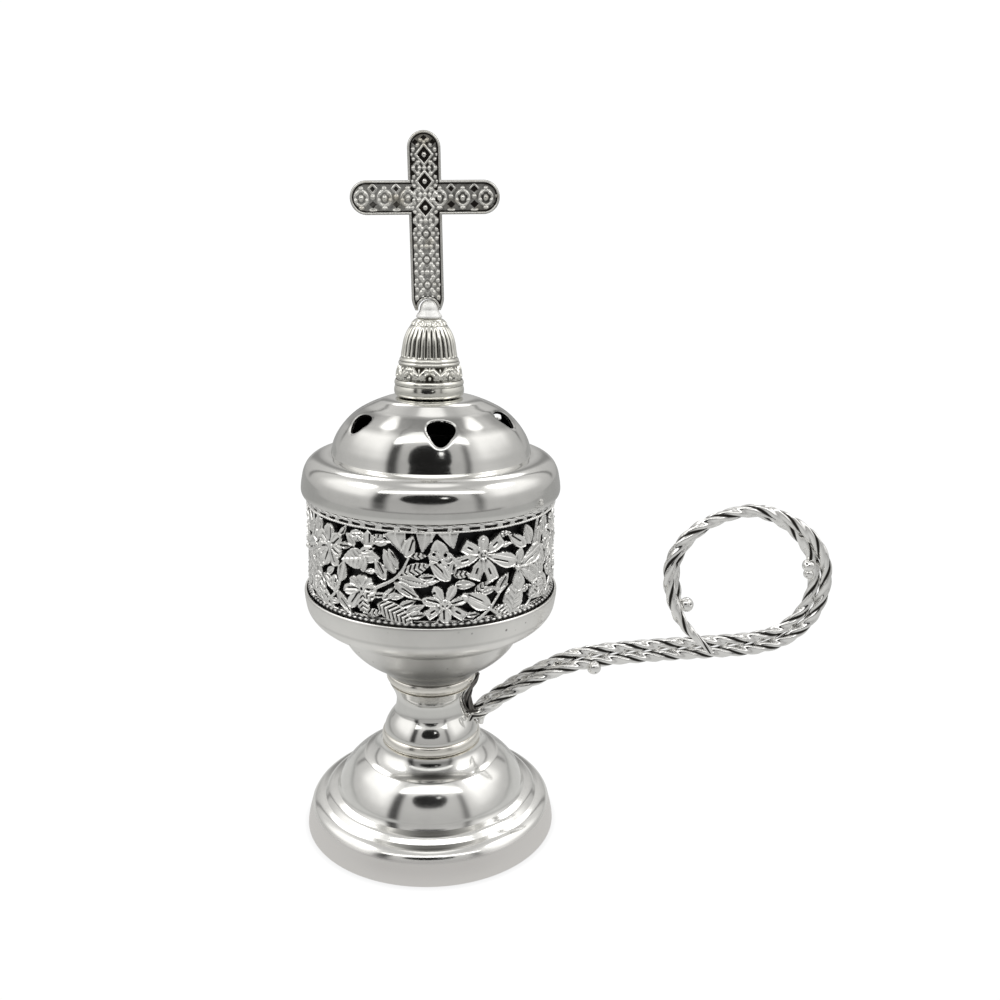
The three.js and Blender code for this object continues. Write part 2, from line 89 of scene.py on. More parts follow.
class Graph:
    """Writes the node tree of a material or world as expressions."""

    def __init__(self, owner):
        owner.use_nodes = True
        self.tree = owner.node_tree
        self.tree.nodes.clear()

    def new(self, kind, **props):
        node = self.tree.nodes.new(kind)
        for key, value in props.items():
            setattr(node, key, value)
        return node

    def output(self, node, key=0):
        return Signal(self, node.outputs[key])

    def put(self, socket, value):
        if isinstance(value, Signal):
            self.tree.links.new(value.socket, socket)
        else:
            socket.default_value = value

    def fill(self, sockets, values):
        for key, value in values.items():
            self.put(sockets[key], value)

    def math(self, operation, a, b=0.0, c=0.0, clamp=False):
        node = self.new("ShaderNodeMath", operation=operation, use_clamp=clamp)
        self.fill(node.inputs, {0: a, 1: b, 2: c})
        return self.output(node)

    def coordinates(self, kind="Object"):
        return self.output(self.new("ShaderNodeTexCoord"), kind)

    def split(self, vector):
        node = self.new("ShaderNodeSeparateXYZ")
        self.put(node.inputs[0], vector)
        return [self.output(node, axis) for axis in range(3)]

    def vector(self, x, y, z):
        node = self.new("ShaderNodeCombineXYZ")
        self.fill(node.inputs, {0: x, 1: y, 2: z})
        return self.output(node)

    def distance(self, x, y):
        return self.math("SQRT", x * x + y * y)

    def noise(self, place, scale, detail=3.0, roughness=0.5):
        node = self.new("ShaderNodeTexNoise")
        self.fill(node.inputs, {"Vector": place, "Scale": scale, "Detail": detail,
                                "Roughness": roughness})
        return self.output(node, "Fac")

    def attribute(self, name):
        return self.output(self.new("ShaderNodeAttribute", attribute_name=name), "Fac")

    def mix(self, factor, first, second):
        node = self.new("ShaderNodeMix", data_type="RGBA")
        self.put(node.inputs[0], factor)
        for key, colour in ((6, first), (7, second)):
            self.put(node.inputs[key], (*colour, 1.0) if isinstance(colour, tuple) else colour)
        return self.output(node, 2)

    def levels(self, value, stops):
        """Grey colour ramp through (position, level) stops."""
        node = self.new("ShaderNodeValToRGB")
        self.put(node.inputs[0], value)
        ramp = node.color_ramp
        ramp.interpolation = "LINEAR"
        while len(ramp.elements) < len(stops):
            ramp.elements.new(0.5)
        for element, (position, level) in zip(ramp.elements, stops):
            element.position = position
            element.color = (level, level, level, 1)
        return self.output(node)

    def bump(self, height, strength, distance, normal=None):
        node = self.new("ShaderNodeBump")
        self.fill(node.inputs, {"Height": height, "Strength": strength, "Distance": distance})
        if normal is not None:
            self.put(node.inputs["Normal"], normal)
        return self.output(node)

    def light(self, colour, kind="ShaderNodeEmission", strength=1.0):
        node = self.new(kind)
        self.fill(node.inputs, {"Color": colour, "Strength": strength})
        return self.output(node)

    def surface(self, shader, kind="ShaderNodeOutputMaterial"):
        self.put(self.new(kind).inputs["Surface"], shader)

    def by_ray(self, reflected, seen):
        """One shader for reflections and light, another for the camera."""
        node = self.new("ShaderNodeMixShader")
        camera_ray = self.output(self.new("ShaderNodeLightPath"), "Is Camera Ray")
        self.fill(node.inputs, {0: camera_ray, 1: reflected, 2: seen})
        return self.output(node)


def principled(name):
    """New material with its graph, shader inputs and object coordinates."""
    material = bpy.data.materials.new(name)
    graph = Graph(material)
    shader = graph.new("ShaderNodeBsdfPrincipled")
    graph.surface(graph.output(shader))
    return material, graph, shader.inputs, graph.coordinates()


# ------------------------------------------------------------------ silver
def leaned_normal(graph, z, table):
    """Shading normal leaned down or up the slope by height: (mm, degrees) rows."""
    low, high = table[0][0], table[-1][0]
    stops = [((height - low) / (high - low), 0.5 + math.tan(math.radians(degrees)))
             for height, degrees in table]
    slope = graph.levels(z.linear(low * MM, high * MM), stops) - 0.5
    nx, ny, nz = graph.split(graph.output(graph.new("ShaderNodeNewGeometry"), "Normal"))
    flat = graph.math("SQRT", graph.math("MAXIMUM", 1.0 - nz * nz, 0.0004))
    sideways = 1.0 - slope * nz / flat
    unit = graph.new("ShaderNodeVectorMath", operation="NORMALIZE")
    graph.put(unit.inputs[0], graph.vector(nx * sideways, ny * sideways, nz + slope * flat))
    return graph.output(unit)


class Metal:
    """The signals of a spun material that its own marks, including painted shade, work on."""

    def __init__(self, graph, place):
        self.x, self.y, self.z = graph.split(place)
        self.radius = graph.distance(self.x, self.y)
        self.smear = graph.noise(place, scale=160.0, detail=4.0, roughness=0.6)


def spun(name, colour, rough, haze=0.03, wave=0.25, lines=0.5, pits=0.0, slope=None, marks=None):
    """Turned sheet metal: turning lines round the axis, slow waves, thin haze and pits."""
    material, graph, shader, place = principled(name)
    metal = Metal(graph, place)
    rings = graph.noise(graph.vector(metal.radius, 0.0, metal.z), scale=5200.0, detail=2.0)
    slow = graph.noise(place, scale=70.0, detail=2.0)
    fine = graph.noise(place, scale=900.0, detail=4.0)
    duller = tuple(channel * 0.93 for channel in colour)
    metal.tone = graph.mix(metal.smear.linear(0.35, 0.75), colour, duller)
    metal.rough = rough + metal.smear.ease(0.45, 0.8) * haze
    metal.rough = metal.rough + fine.ease(0.6, 0.85) * (haze * 0.8)
    height = rings * (0.010 * lines) + slow * wave
    if pits:
        cells = graph.new("ShaderNodeTexVoronoi", feature="F1")
        graph.fill(cells.inputs, {"Vector": place, "Scale": 420.0})
        gate = graph.noise(place, scale=300.0, detail=1.0).ease(0.55, 0.66)
        pit = graph.output(cells, "Distance").fade(0.06, 0.20) * gate
        metal.tone = graph.mix(pit * pits, metal.tone, (0.10, 0.095, 0.09))
        height = height - pit * 0.04
        metal.rough = metal.rough + pit * 0.3
    if marks:
        marks(graph, metal)
    normal = leaned_normal(graph, metal.z, slope) if slope else None
    graph.fill(shader, {"Base Color": metal.tone, "Roughness": metal.rough, "Metallic": 1.0,
                        "Normal": graph.bump(height, 1.0, 0.00012, normal)})
    return material


def lid_painted_reflection_and_soot(graph, metal):
    """Painted reflection: a grey band round the upper dome; and soot inside the sheet."""
    painted_reflection_band = metal.z.ease(0.1188, 0.1206) * metal.z.fade(0.1230, 0.1241)
    metal.tone = graph.mix(painted_reflection_band * (0.46 + metal.smear * 0.25), metal.tone, (0.16, 0.16, 0.155))
    soot = graph.attribute("dark_finish_and_shade")
    metal.tone = graph.mix(soot * (0.80 + metal.smear * 0.25), metal.tone, (0.020, 0.019, 0.018))
    metal.rough = metal.rough + soot * 0.35


def foot_painted_reflection_and_rim(graph, metal):
    """Painted reflection: a dark spot at the front of the flare; and a duller lowest rim."""
    spot = metal.z.ease(0.0209, 0.0218) * metal.z.fade(0.0243, 0.0252)
    spot = spot * (metal.y.ease(-0.002, -0.008) * abs(metal.x).fade(0.00434, 0.00806))
    metal.tone = graph.mix(spot * 0.62, metal.tone, (0.12, 0.12, 0.115))
    rim = metal.z.fade(0.0058, 0.0072)
    metal.tone = graph.mix(rim, metal.tone, (0.80, 0.78, 0.765))
    metal.rough = metal.rough + rim * 0.22


def bowl_painted_shade(graph, metal):
    """Painted shade: the underside darker towards the stem and a little at the front, standing in
    for the dark foot and lens it reflects; and painted shade inside the lip.
    """
    low = metal.z.fade(0.0495, 0.060)
    front = metal.y.ease(-0.004, -0.022) * abs(metal.x).ease(0.005, 0.020, first=1.0, last=0.15)
    front = front * metal.z.ease(0.0632, 0.0668, first=1.0, last=0.42)
    painted_shade = graph.math("ADD", low * 0.50, front * 0.64, clamp=True)
    metal.tone = graph.mix(painted_shade, metal.tone, (0.16, 0.157, 0.150))
    # painted shade: a dark band inside the lip, in the gap under the gallery
    inside = metal.radius.fade(0.0343, 0.0348) * metal.z.ease(0.0672, 0.0690)
    metal.tone = graph.mix(inside * 0.85, metal.tone, (0.03, 0.03, 0.03))


def cast(name, colour, rough, dark, amount=1.0, grain=0.35, tint=None):
    """Cast, polished metal darkened by a mesh attribute: dark finish left in the recesses, and on
    some parts painted shade.
    """
    material, graph, shader, place = principled(name)
    dark_finish_and_shade = graph.attribute("dark_finish_and_shade")
    fine = graph.noise(place, scale=700.0, detail=4.0, roughness=0.6)
    slow = graph.noise(place, scale=190.0)
    edge = (dark_finish_and_shade + (fine - 0.5) * 0.25).ease(0.12, 0.75)
    darkening = graph.math("MULTIPLY", edge, amount, clamp=True)
    duller = tuple(channel * 0.90 for channel in colour)
    tone = graph.mix(slow.linear(0.3, 0.7), colour, duller)
    if tint:
        tone = graph.mix(slow.ease(0.55, 0.75), tone, tint)
    graph.fill(shader, {"Base Color": graph.mix(darkening, tone, dark),
                        "Roughness": rough + fine * 0.10 + darkening * 0.35, "Metallic": 1.0,
                        "Normal": graph.bump(fine * grain + slow * grain, 1.0, 0.00009)})
    return material


SILVER = (0.80, 0.795, 0.775)
# height in mm, lean of the shading normal in degrees
LID_SLOPE = (
    (110.6, 0), (110.92, 0), (111.0, 7), (112.2, 3.5), (113.4, -1), (114.5, -5.5), (115.4, -9),
    (116.6, -11.5), (117.5, -12.5), (119.5, -12), (120.6, -14.5), (121.0, -13.5), (121.4, -11.5),
    (122.2, -15.5), (123.0, -19), (123.6, -19), (123.9, -15), (124.6, -17), (125.2, -21),
    (125.6, -8), (126.2, 0))
FOOT_SLOPE = (
    (9.05, 0), (9.2, 7), (9.6, 9), (9.9, 4), (10.2, -4), (10.5, -7), (10.8, 0), (12.2, 0),
    (12.7, -1), (13.9, -4), (14.9, -7), (16.3, -10.5), (18.0, -12.5), (19.4, -12), (20.3, -14),
    (20.72, -13), (20.9, 0), (22.0, 0))

mirror = spun("mirror_silver", SILVER, rough=0.105, haze=0.04, wave=0.24, lines=0.4,
              slope=LID_SLOPE, marks=lid_painted_reflection_and_soot)
mirror_low = spun("foot_silver", (0.90, 0.895, 0.875), rough=0.125, haze=0.05, wave=0.24,
                  lines=0.45, slope=FOOT_SLOPE, marks=foot_painted_reflection_and_rim)
stem_silver = spun("stem_silver", SILVER, rough=0.10, haze=0.04, wave=0.25, lines=0.5)
satin = spun("satin_silver", (0.98, 0.97, 0.945), rough=0.28, haze=0.06, wave=0.15, lines=0.6,
             pits=0.75, marks=bowl_painted_shade)
collar_silver = spun("collar_silver", (0.92, 0.895, 0.84), rough=0.17, haze=0.05, wave=0.3,
                     lines=1.0)
neck_silver = spun("neck_silver", (0.62, 0.61, 0.59), rough=0.33, haze=0.08, wave=0.2,
                   lines=1.0, pits=0.4)
relief_silver = cast("relief_silver", (0.99, 0.985, 0.965), rough=0.20,
                     dark=(0.030, 0.029, 0.028), grain=0.40)
wire_silver = cast("wire_silver", (0.94, 0.935, 0.92), rough=0.12,
                   dark=(0.05, 0.05, 0.05), grain=0.3)
finial_silver = cast("finial_silver", (0.88, 0.87, 0.81), rough=0.09,
                     dark=(0.035, 0.032, 0.025), grain=0.2)
cross_silver = cast("cross_silver", (0.83, 0.82, 0.785), rough=0.22,
                    dark=(0.024, 0.021, 0.019), grain=0.6, tint=(0.64, 0.61, 0.54))
handle_silver = cast("handle_silver", (0.985, 0.98, 0.965), rough=0.06,
                     dark=(0.030, 0.028, 0.025), grain=0.18)
# painted shade: a dark copy of the silver for the strap, standing in for the shadow it lies in
# against the stem
strap_silver_painted_shade = cast("strap_silver_painted_shade", (0.22, 0.21, 0.20), rough=0.28,
                    dark=(0.03, 0.03, 0.03), grain=0.6)
seat_silver = cast("seat_silver", (1.0, 0.998, 0.985), rough=0.5,
                   dark=(0.10, 0.095, 0.085), amount=0.5, grain=0.2)


# ------------------------------------------------------------------ other materials
def sooted_iron():
    """Heat-darkened iron of the charcoal cup, blotchy with scale."""
    material, graph, shader, place = principled("sooted_iron")
    scale = graph.noise(place, scale=240.0, detail=5.0, roughness=0.6)
    blotch = graph.noise(place, scale=60.0)
    tone = graph.mix(scale.linear(0.3, 0.7), (0.010, 0.010, 0.011), (0.030, 0.030, 0.031))
    tone = graph.mix(blotch.ease(0.52, 0.75), tone, (0.045, 0.043, 0.040))
    graph.fill(shader, {"Base Color": tone, "Roughness": 0.42 + scale * 0.3, "Metallic": 0.35,
                        "Normal": graph.bump(scale + blotch * 0.6, 0.8, 0.00012)})
    return material


def pressed_felt():
    """Dense pressed felt."""
    material, graph, shader, place = principled("pressed_felt")
    fibre = graph.noise(place, scale=1400.0, detail=6.0, roughness=0.7)
    cloud = graph.noise(place, scale=260.0)
    tone = graph.mix(fibre, (0.030, 0.030, 0.032), (0.085, 0.085, 0.090))
    graph.fill(shader, {"Base Color": graph.mix(cloud * 0.5, tone, (0.12, 0.12, 0.125)),
                        "Roughness": 0.95, "Sheen Weight": 0.35, "Sheen Roughness": 0.5,
                        "Normal": graph.bump(fibre, 0.9, 0.00035)})
    return material


def plated_steel():
    """Zinc-plated fasteners with machining marks."""
    material, graph, shader, place = principled("plated_steel")
    x, y, z = graph.split(place)
    patch = graph.noise(place, scale=600.0, detail=4.0)
    marks = graph.noise(graph.vector(x * 0.2, y * 0.2, z), scale=3200.0, detail=3.0)
    graph.fill(shader, {"Base Color": graph.mix(patch, (0.48, 0.48, 0.47), (0.62, 0.61, 0.58)),
                        "Roughness": 0.24 + patch * 0.2, "Metallic": 1.0,
                        "Normal": graph.bump(marks + patch * 0.5, 0.6, 0.00008)})
    return material


liner_iron, felt, steel = sooted_iron(), pressed_felt(), plated_steel()


# ------------------------------------------------------------------ curves
def ease(x):
    """Smooth step from 0 to 1."""
    x = np.clip(x, 0, 1)
    return x * x * (3 - 2 * x)


def bell(x, width):
    return np.exp(-(x / width) ** 2)


def round_top(x):
    """Square root that stays 0 below zero, for domed beads."""
    return np.sqrt(np.clip(x, 0, 1))


def angles(count):
    return np.arange(count) * 2 * np.pi / count


def circle(count):
    turn = angles(count)
    return np.stack([np.cos(turn), np.sin(turn)], 1)


def around(radius, angle, height, x=0.0):
    """Points about the Z axis; angle 0 is the front (-Y), a quarter turn is +X."""
    parts = (x + radius * np.sin(angle), -radius * np.cos(angle), height)
    return np.stack(np.broadcast_arrays(*parts), -1)


def arc_lengths(points):
    steps = np.linalg.norm(np.diff(points, axis=0), axis=1)
    return np.concatenate([[0], np.cumsum(steps)])


def refine(points, step):
    """Smooth curve through (radius, height) points.

    A third entry "c" marks a crease, "l" a straight run after the point."""
    spots = np.array([point[:2] for point in points], dtype=float)
    marks = [point[2] if len(point) > 2 else "" for point in points]
    last = len(spots) - 1

    def tangent(j, side):
        """Chord-length aware tangent, one-sided at creases and ends."""
        if j in (0, last) or marks[j]:
            start, end = (j, j + 1) if side > 0 else (j - 1, j)
            slope = spots[end] - spots[start]
        else:
            before, after = spots[j] - spots[j - 1], spots[j + 1] - spots[j]
            span_a, span_b = np.linalg.norm(before), np.linalg.norm(after)
            slope = before / span_a * span_b + after / span_b * span_a
        return slope / max(1e-9, np.linalg.norm(slope))

    curve = []
    for i in range(last):
        start, end = spots[i], spots[i + 1]
        span = np.linalg.norm(end - start)
        count = max(1, int(math.ceil(span / step)))
        t = np.linspace(0, 1, count, endpoint=False)[:, None]
        if marks[i] == "l":
            curve.append(start * (1 - t) + end * t)
        else:
            curve.append((2 * t**3 - 3 * t**2 + 1) * start
                         + (t**3 - 2 * t**2 + t) * (tangent(i, 1) * span)
                         + (-2 * t**3 + 3 * t**2) * end
                         + (t**3 - t**2) * (tangent(i + 1, -1) * span))
    curve.append(spots[-1:])
    return np.vstack(curve)


def catmull(points, per_mm):
    """Centripetal Catmull-Rom through 3-D points."""
    points = np.array(points, dtype=float)
    points = np.vstack([2 * points[0] - points[1], points, 2 * points[-1] - points[-2]])
    curve = []
    for i in range(1, len(points) - 2):
        p0, p1, p2, p3 = points[i - 1:i + 3]
        t0 = 0.0
        t1 = t0 + np.linalg.norm(p1 - p0) ** 0.5
        t2 = t1 + np.linalg.norm(p2 - p1) ** 0.5
        t3 = t2 + np.linalg.norm(p3 - p2) ** 0.5
        count = max(2, int(math.ceil(np.linalg.norm(p2 - p1) * per_mm)))
        t = np.linspace(t1, t2, count, endpoint=False)[:, None]
        a1 = (t1 - t) / (t1 - t0) * p0 + (t - t0) / (t1 - t0) * p1
        a2 = (t2 - t) / (t2 - t1) * p1 + (t - t1) / (t2 - t1) * p2
        a3 = (t3 - t) / (t3 - t2) * p2 + (t - t2) / (t3 - t2) * p3
        b1 = (t2 - t) / (t2 - t0) * a1 + (t - t0) / (t2 - t0) * a2
        b2 = (t3 - t) / (t3 - t1) * a2 + (t - t1) / (t3 - t1) * a3
        curve.append((t2 - t) / (t2 - t1) * b1 + (t - t1) / (t2 - t1) * b2)
    curve.append(points[-2:-1])
    return np.vstack(curve)


# ------------------------------------------------------------------ meshes
def build(name, points, faces, material, body, sharp=None, dark_finish_and_shade=None, replaces=None,
          slot="cast_plate"):
    """Mesh object from points in mm and a list of face index arrays."""
    mesh = bpy.data.meshes.new(name)
    face_list = []
    for block in faces:
        face_list.extend(block.tolist())
    mesh.from_pydata((np.asarray(points, dtype=np.float64) * MM).tolist(), [], face_list)
    mesh.polygons.foreach_set("use_smooth", np.ones(len(mesh.polygons), dtype=bool))
    if dark_finish_and_shade is not None:
        layer = mesh.attributes.new("dark_finish_and_shade", "FLOAT", "POINT")
        layer.data.foreach_set("value", np.asarray(dark_finish_and_shade, dtype=np.float32))
    mesh.materials.append(material)
    mesh.validate()
    if sharp:
        mesh.set_sharp_from_angle(angle=math.radians(sharp))
    obj = bpy.data.objects.new(name, mesh)
    scene.collection.objects.link(obj)
    bpy.context.view_layer.update()
    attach(obj, body)
    if replaces:
        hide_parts(replaces)
    return obj


def strip(lower, upper):
    """Quads between two closed rings of indices."""
    return np.stack([lower, np.roll(lower, -1), np.roll(upper, -1), upper], 1)


def lathe(name, profile, segments, material, body, x=0.0, **options):
    """Closed ring or solid of revolution from (radius, height) points, going up outside."""
    profile = np.asarray(profile, dtype=float)
    count = len(profile)
    on_axis = profile[:, 0] < 1e-6
    points, rings, total = [], [], 0
    for (radius, z), pole in zip(profile, on_axis):
        size = 1 if pole else segments
        points.append(around(0.0 if pole else radius, angles(size), z, x))
        rings.append(np.full(segments, total) if pole else np.arange(total, total + size))
        total += size
    quads, triangles = [], []
    for j in range(count):
        k = (j + 1) % count
        if on_axis[j] and on_axis[k]:
            continue
        quad = strip(rings[j], rings[k])
        if on_axis[j]:
            triangles.append(quad[:, [0, 2, 3]])
        elif on_axis[k]:
            triangles.append(quad[:, :3])
        else:
            quads.append(quad)
    return build(name, np.vstack(points), quads + triangles, material, body, **options)


def sweep(name, path, section, material, body, closed=False, up=(0, 1, 0), **options):
    """Tube along a path without twisting.

    section(distance) gives its outline (m x 2) and darkening values (dark finish, and on some
    parts painted shade)."""
    count = len(path)
    if closed:
        tangents = np.roll(path, -1, 0) - np.roll(path, 1, 0)
    else:
        tangents = np.gradient(path, axis=0)
    tangents /= np.linalg.norm(tangents, axis=1)[:, None]
    upward = np.array(up, dtype=float)
    points, dark_finish_and_shade = [], []
    for spot, tangent, distance in zip(path, tangents, arc_lengths(path)):
        upward = upward - tangent * upward.dot(tangent)
        upward /= np.linalg.norm(upward)
        sideways = np.cross(tangent, upward)
        outline, shade = section(distance)
        points.append(spot + outline[:, :1] * upward + outline[:, 1:2] * sideways)
        dark_finish_and_shade.append(shade)
    size = len(outline)
    index = np.arange(count * size).reshape(count, size)
    rows = count if closed else count - 1
    faces = [strip(index[i], index[(i + 1) % count]) for i in range(rows)]
    if not closed:
        # low cones close the two ends
        first, last = index[0], index[-1]
        start = np.full(size, count * size)
        points += [[path[0] - tangents[0] * 0.3], [path[-1] + tangents[-1] * 0.3]]
        faces.append(np.stack([np.roll(first, -1), first, start], 1))
        faces.append(np.stack([last, np.roll(last, -1), start + 1], 1))
        dark_finish_and_shade.append(np.zeros(2))
    return build(name, np.vstack(points), faces, material, body,
                 dark_finish_and_shade=np.concatenate(dark_finish_and_shade), **options)


def bilinear(grid, fu, fv, wrap):
    """Grid values at fractional indices."""
    count_u, count_v = grid.shape[:2]
    i0 = np.floor(fu).astype(int)
    j0 = np.clip(np.floor(fv).astype(int), 0, count_v - 2)
    if not wrap:
        i0 = np.clip(i0, 0, count_u - 2)
    wu, wv = fu - i0, fv - j0
    i1 = i0 + 1
    if wrap:
        i0, i1 = i0 % count_u, i1 % count_u
    if grid.ndim == 3:
        wu, wv = wu[:, None], wv[:, None]
    return ((grid[i0, j0] * (1 - wu) + grid[i1, j0] * wu) * (1 - wv)
            + (grid[i0, j0 + 1] * (1 - wu) + grid[i1, j0 + 1] * wu) * wv)


def cut_sheet(name, outer, inner, field, wrap, material, body, outer_dark_finish_and_shade, inner_dark_finish_and_shade,
              **options):
    """Two-sided sheet over a grid, kept where field > 0, with clean walled edges."""
    count_u, count_v = field.shape
    cells = np.arange(count_u if wrap else count_u - 1)
    after = (cells + 1) % count_u
    keep = (field[cells, :-1] + field[after, :-1] + field[after, 1:] + field[cells, 1:]) > 0
    touch = np.zeros(field.shape, dtype=int)
    total = np.zeros(field.shape, dtype=int)
    for step_u, step_v in ((0, 0), (1, 0), (1, 1), (0, 1)):
        rows = (cells + step_u) % count_u
        touch[rows, step_v:step_v + count_v - 1] += keep
        total[rows, step_v:step_v + count_v - 1] += 1
    # points on the cut slide along the gradient onto the line field = 0
    edge = (touch > 0) & (touch < total)
    if wrap:
        slope_u = (np.roll(field, -1, 0) - np.roll(field, 1, 0)) / 2
    else:
        slope_u = np.gradient(field, axis=0)
    slope_v = np.gradient(field, axis=1)
    steep = slope_u**2 + slope_v**2 + 1e-9
    shift_u = np.clip(-field * slope_u / steep, -0.72, 0.72) * edge
    shift_v = np.clip(-field * slope_v / steep, -0.72, 0.72) * edge
    if not wrap:
        shift_u[0] = shift_u[-1] = 0
    shift_v[:, 0] = shift_v[:, -1] = 0
    used_u, used_v = np.nonzero(touch > 0)
    used = len(used_u)
    index = -np.ones(field.shape, dtype=np.int64)
    index[used_u, used_v] = np.arange(used)
    where = (used_u + shift_u[used_u, used_v], used_v + shift_v[used_u, used_v], wrap)

    i, j = np.nonzero(keep)
    after = (i + 1) % count_u
    a, b, c, d = index[i, j], index[after, j], index[after, j + 1], index[i, j + 1]
    faces = [np.stack([a, b, c, d], 1), np.stack([d, c, b, a], 1) + used]
    padded = np.zeros((len(cells) + 2, count_v + 1), dtype=bool)
    padded[1:-1, 1:-1] = keep
    if wrap:
        padded[0, 1:-1] = keep[-1]
        padded[-1, 1:-1] = keep[0]
    for p, q, step_u, step_v in ((a, b, 0, -1), (b, c, 1, 0), (c, d, 0, 1), (d, a, -1, 0)):
        open_side = ~padded[i + 1 + step_u, j + 1 + step_v]
        p, q = p[open_side], q[open_side]
        faces.append(np.stack([q, p, p + used, q + used], 1))
    points = np.vstack([bilinear(outer, *where), bilinear(inner, *where)])
    dark_finish_and_shade = np.concatenate([bilinear(outer_dark_finish_and_shade, *where), bilinear(inner_dark_finish_and_shade, *where)])
    return build(name, points, faces, material, body, dark_finish_and_shade=dark_finish_and_shade, **options)


def blur(grid, sigma, wrap=False):
    """Separable Gaussian on a grid, sigma in cells."""
    reach = int(math.ceil(sigma * 2.5))
    weights = np.exp(-0.5 * (np.arange(-reach, reach + 1) / sigma) ** 2)
    weights /= weights.sum()
    for axis in (0, 1):
        pads = [(reach, reach) if i == axis else (0, 0) for i in range(2)]
        padded = np.pad(grid, pads, mode="wrap" if axis == 0 and wrap else "edge")
        result = np.zeros_like(grid)
        for i, weight in enumerate(weights):
            window = [slice(None), slice(None)]
            window[axis] = slice(i, i + grid.shape[axis])
            result += weight * padded[tuple(window)]
        grid = result
    return grid


# ------------------------------------------------------------------ foot, stem, bowl
# Outlines are (radius, height) points.
def foot():
    outside = refine([
        (36.3, 0), (36.25, 0.5), (35.0, 6.2, "c"), (34.3, 7.4), (32.9, 8.5), (31.1, 9.1, "c"),
        (30.1, 10.3), (28.6, 10.85), (27.6, 11.2, "c"), (27.15, 12.0), (26.7, 13.3),
        (25.75, 15.1), (24.3, 17.0), (22.6, 18.7), (21.0, 19.9), (19.6, 20.75, "c"),
        (18.2, 21.2), (16.8, 22.0), (15.5, 23.2), (14.75, 24.3), (14.4, 25.3, "c")], step=0.4)
    inside = [(BORE, 25.3), (BORE, 24.4), (13.4, 24.4), (15.6, 22.0), (19.2, 20.3), (22.6, 17.6),
              (25.2, 14.0), (26.6, 10.4), (32.6, 7.4), (34.0, 5.8), (35.1, 0.0)]
    lathe("foot_dome", np.vstack([outside, inside]), FINE_SEGMENTS, mirror_low, "standing_part",
          replaces="base_foot", slot="mirror_plate", sharp=32)


def pad():
    """Felt disc under the foot, its upper face slightly rippled."""
    top = 1.62
    profile = [(0, 0.02), (33.9, 0.02), (34.25, 0.25), (34.3, 1.0), (34.1, 1.5), (33.6, top)]
    profile += [(r, top + 0.06 * math.sin(r * 1.7)) for r in np.linspace(32.5, 1.5, 30)]
    lathe("felt_pad", profile + [(0, 1.6)], STEM_SEGMENTS, felt, "standing_part",
          replaces="base_pad", slot="pad_felt", sharp=60)


def low_collar():
    profile = refine([
        (BORE, 25.35, "l"), (13.3, 25.35, "c"), (14.0, 25.75), (14.35, 26.7), (14.2, 27.7),
        (13.7, 28.55), (13.3, 28.75, "l"), (BORE, 28.75)], step=0.3)
    lathe("collar_low", profile, STEM_SEGMENTS, collar_silver, "standing_part",
          replaces="lower_collar", slot="warm_plate", sharp=50)


def stem():
    outside = refine([
        (13.6, 28.8, "c"), (13.45, 29.6), (13.05, 30.7), (12.45, 31.9), (11.75, 33.0),
        (11.05, 33.95), (10.6, 34.6, "c"), (10.3, 35.6), (10.1, 37.0), (10.1, 38.6),
        (10.6, 40.4), (11.3, 41.9), (12.0, 43.25, "c")], step=0.3)
    inside = [(BORE, 43.25), (BORE, 42.1), (10.3, 42.1), (8.9, 38.6), (9.2, 35.6), (11.3, 31.6),
              (12.4, 28.8)]
    lathe("stem_spool", np.vstack([outside, inside]), STEM_SEGMENTS, stem_silver,
          "standing_part", replaces="stem", slot="mirror_plate", sharp=40)


def high_collar():
    profile = refine([
        (BORE, 43.3, "l"), (11.4, 43.3, "c"), (11.75, 43.7), (12.0, 44.3), (12.55, 44.55),
        (12.85, 45.1), (12.85, 46.0), (12.6, 46.7, "c"), (12.2, 46.85, "l"), (BORE, 46.85)],
        step=0.25)
    lathe("collar_high", profile, STEM_SEGMENTS, collar_silver, "standing_part",
          replaces="upper_collar", slot="warm_plate", sharp=50)


def bowl():
    lip = (34.7, 73.35)
    outside = refine([
        (12.6, 46.9, "c"), (13.5, 47.6), (15.6, 49.9, "c"), (18.2, 51.4), (20.9, 53.5),
        (23.2, 56.0), (25.0, 58.8), (26.6, 61.3, "c"), (28.6, 62.45), (31.4, 64.0),
        (33.3, 65.8), (34.5, 67.8), (35.05, 70.4), (35.25, 72.3), (35.25, 73.0), (35.0, 73.4),
        lip], step=0.4)
    inside = refine([
        lip, (34.45, 72.9), (34.1, 70.5), (33.6, 68.1), (31.0, 64.95), (28.2, 63.3),
        (26.0, 62.0, "c"), (22.5, 56.6), (17.8, 52.3), (15.0, 50.9), (12.2, 47.8, "l"),
        (BORE, 47.8, "l"), (BORE, 46.9)], step=0.8)
    lathe("bowl_shell", np.vstack([outside, inside[1:]]), FINE_SEGMENTS, satin, "standing_part",
          replaces="bowl", slot="satin_plate", sharp=32)


def fasteners():
    """The rod, washers, nuts and stud keep their CAD shapes, in plated steel."""
    for node in ("tie_rod", "foot_washer", "foot_nut", "bowl_washer", "bowl_nut", "lid_washer",
                 "lid_nut", "lid_stud"):
        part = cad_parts[node]
        if len(part.material_slots) == 0:
            part.data.materials.append(steel)
        for slot in part.material_slots:
            slot.material = steel


foot()
pad()
low_collar()
stem()
high_collar()
bowl()
fasteners()

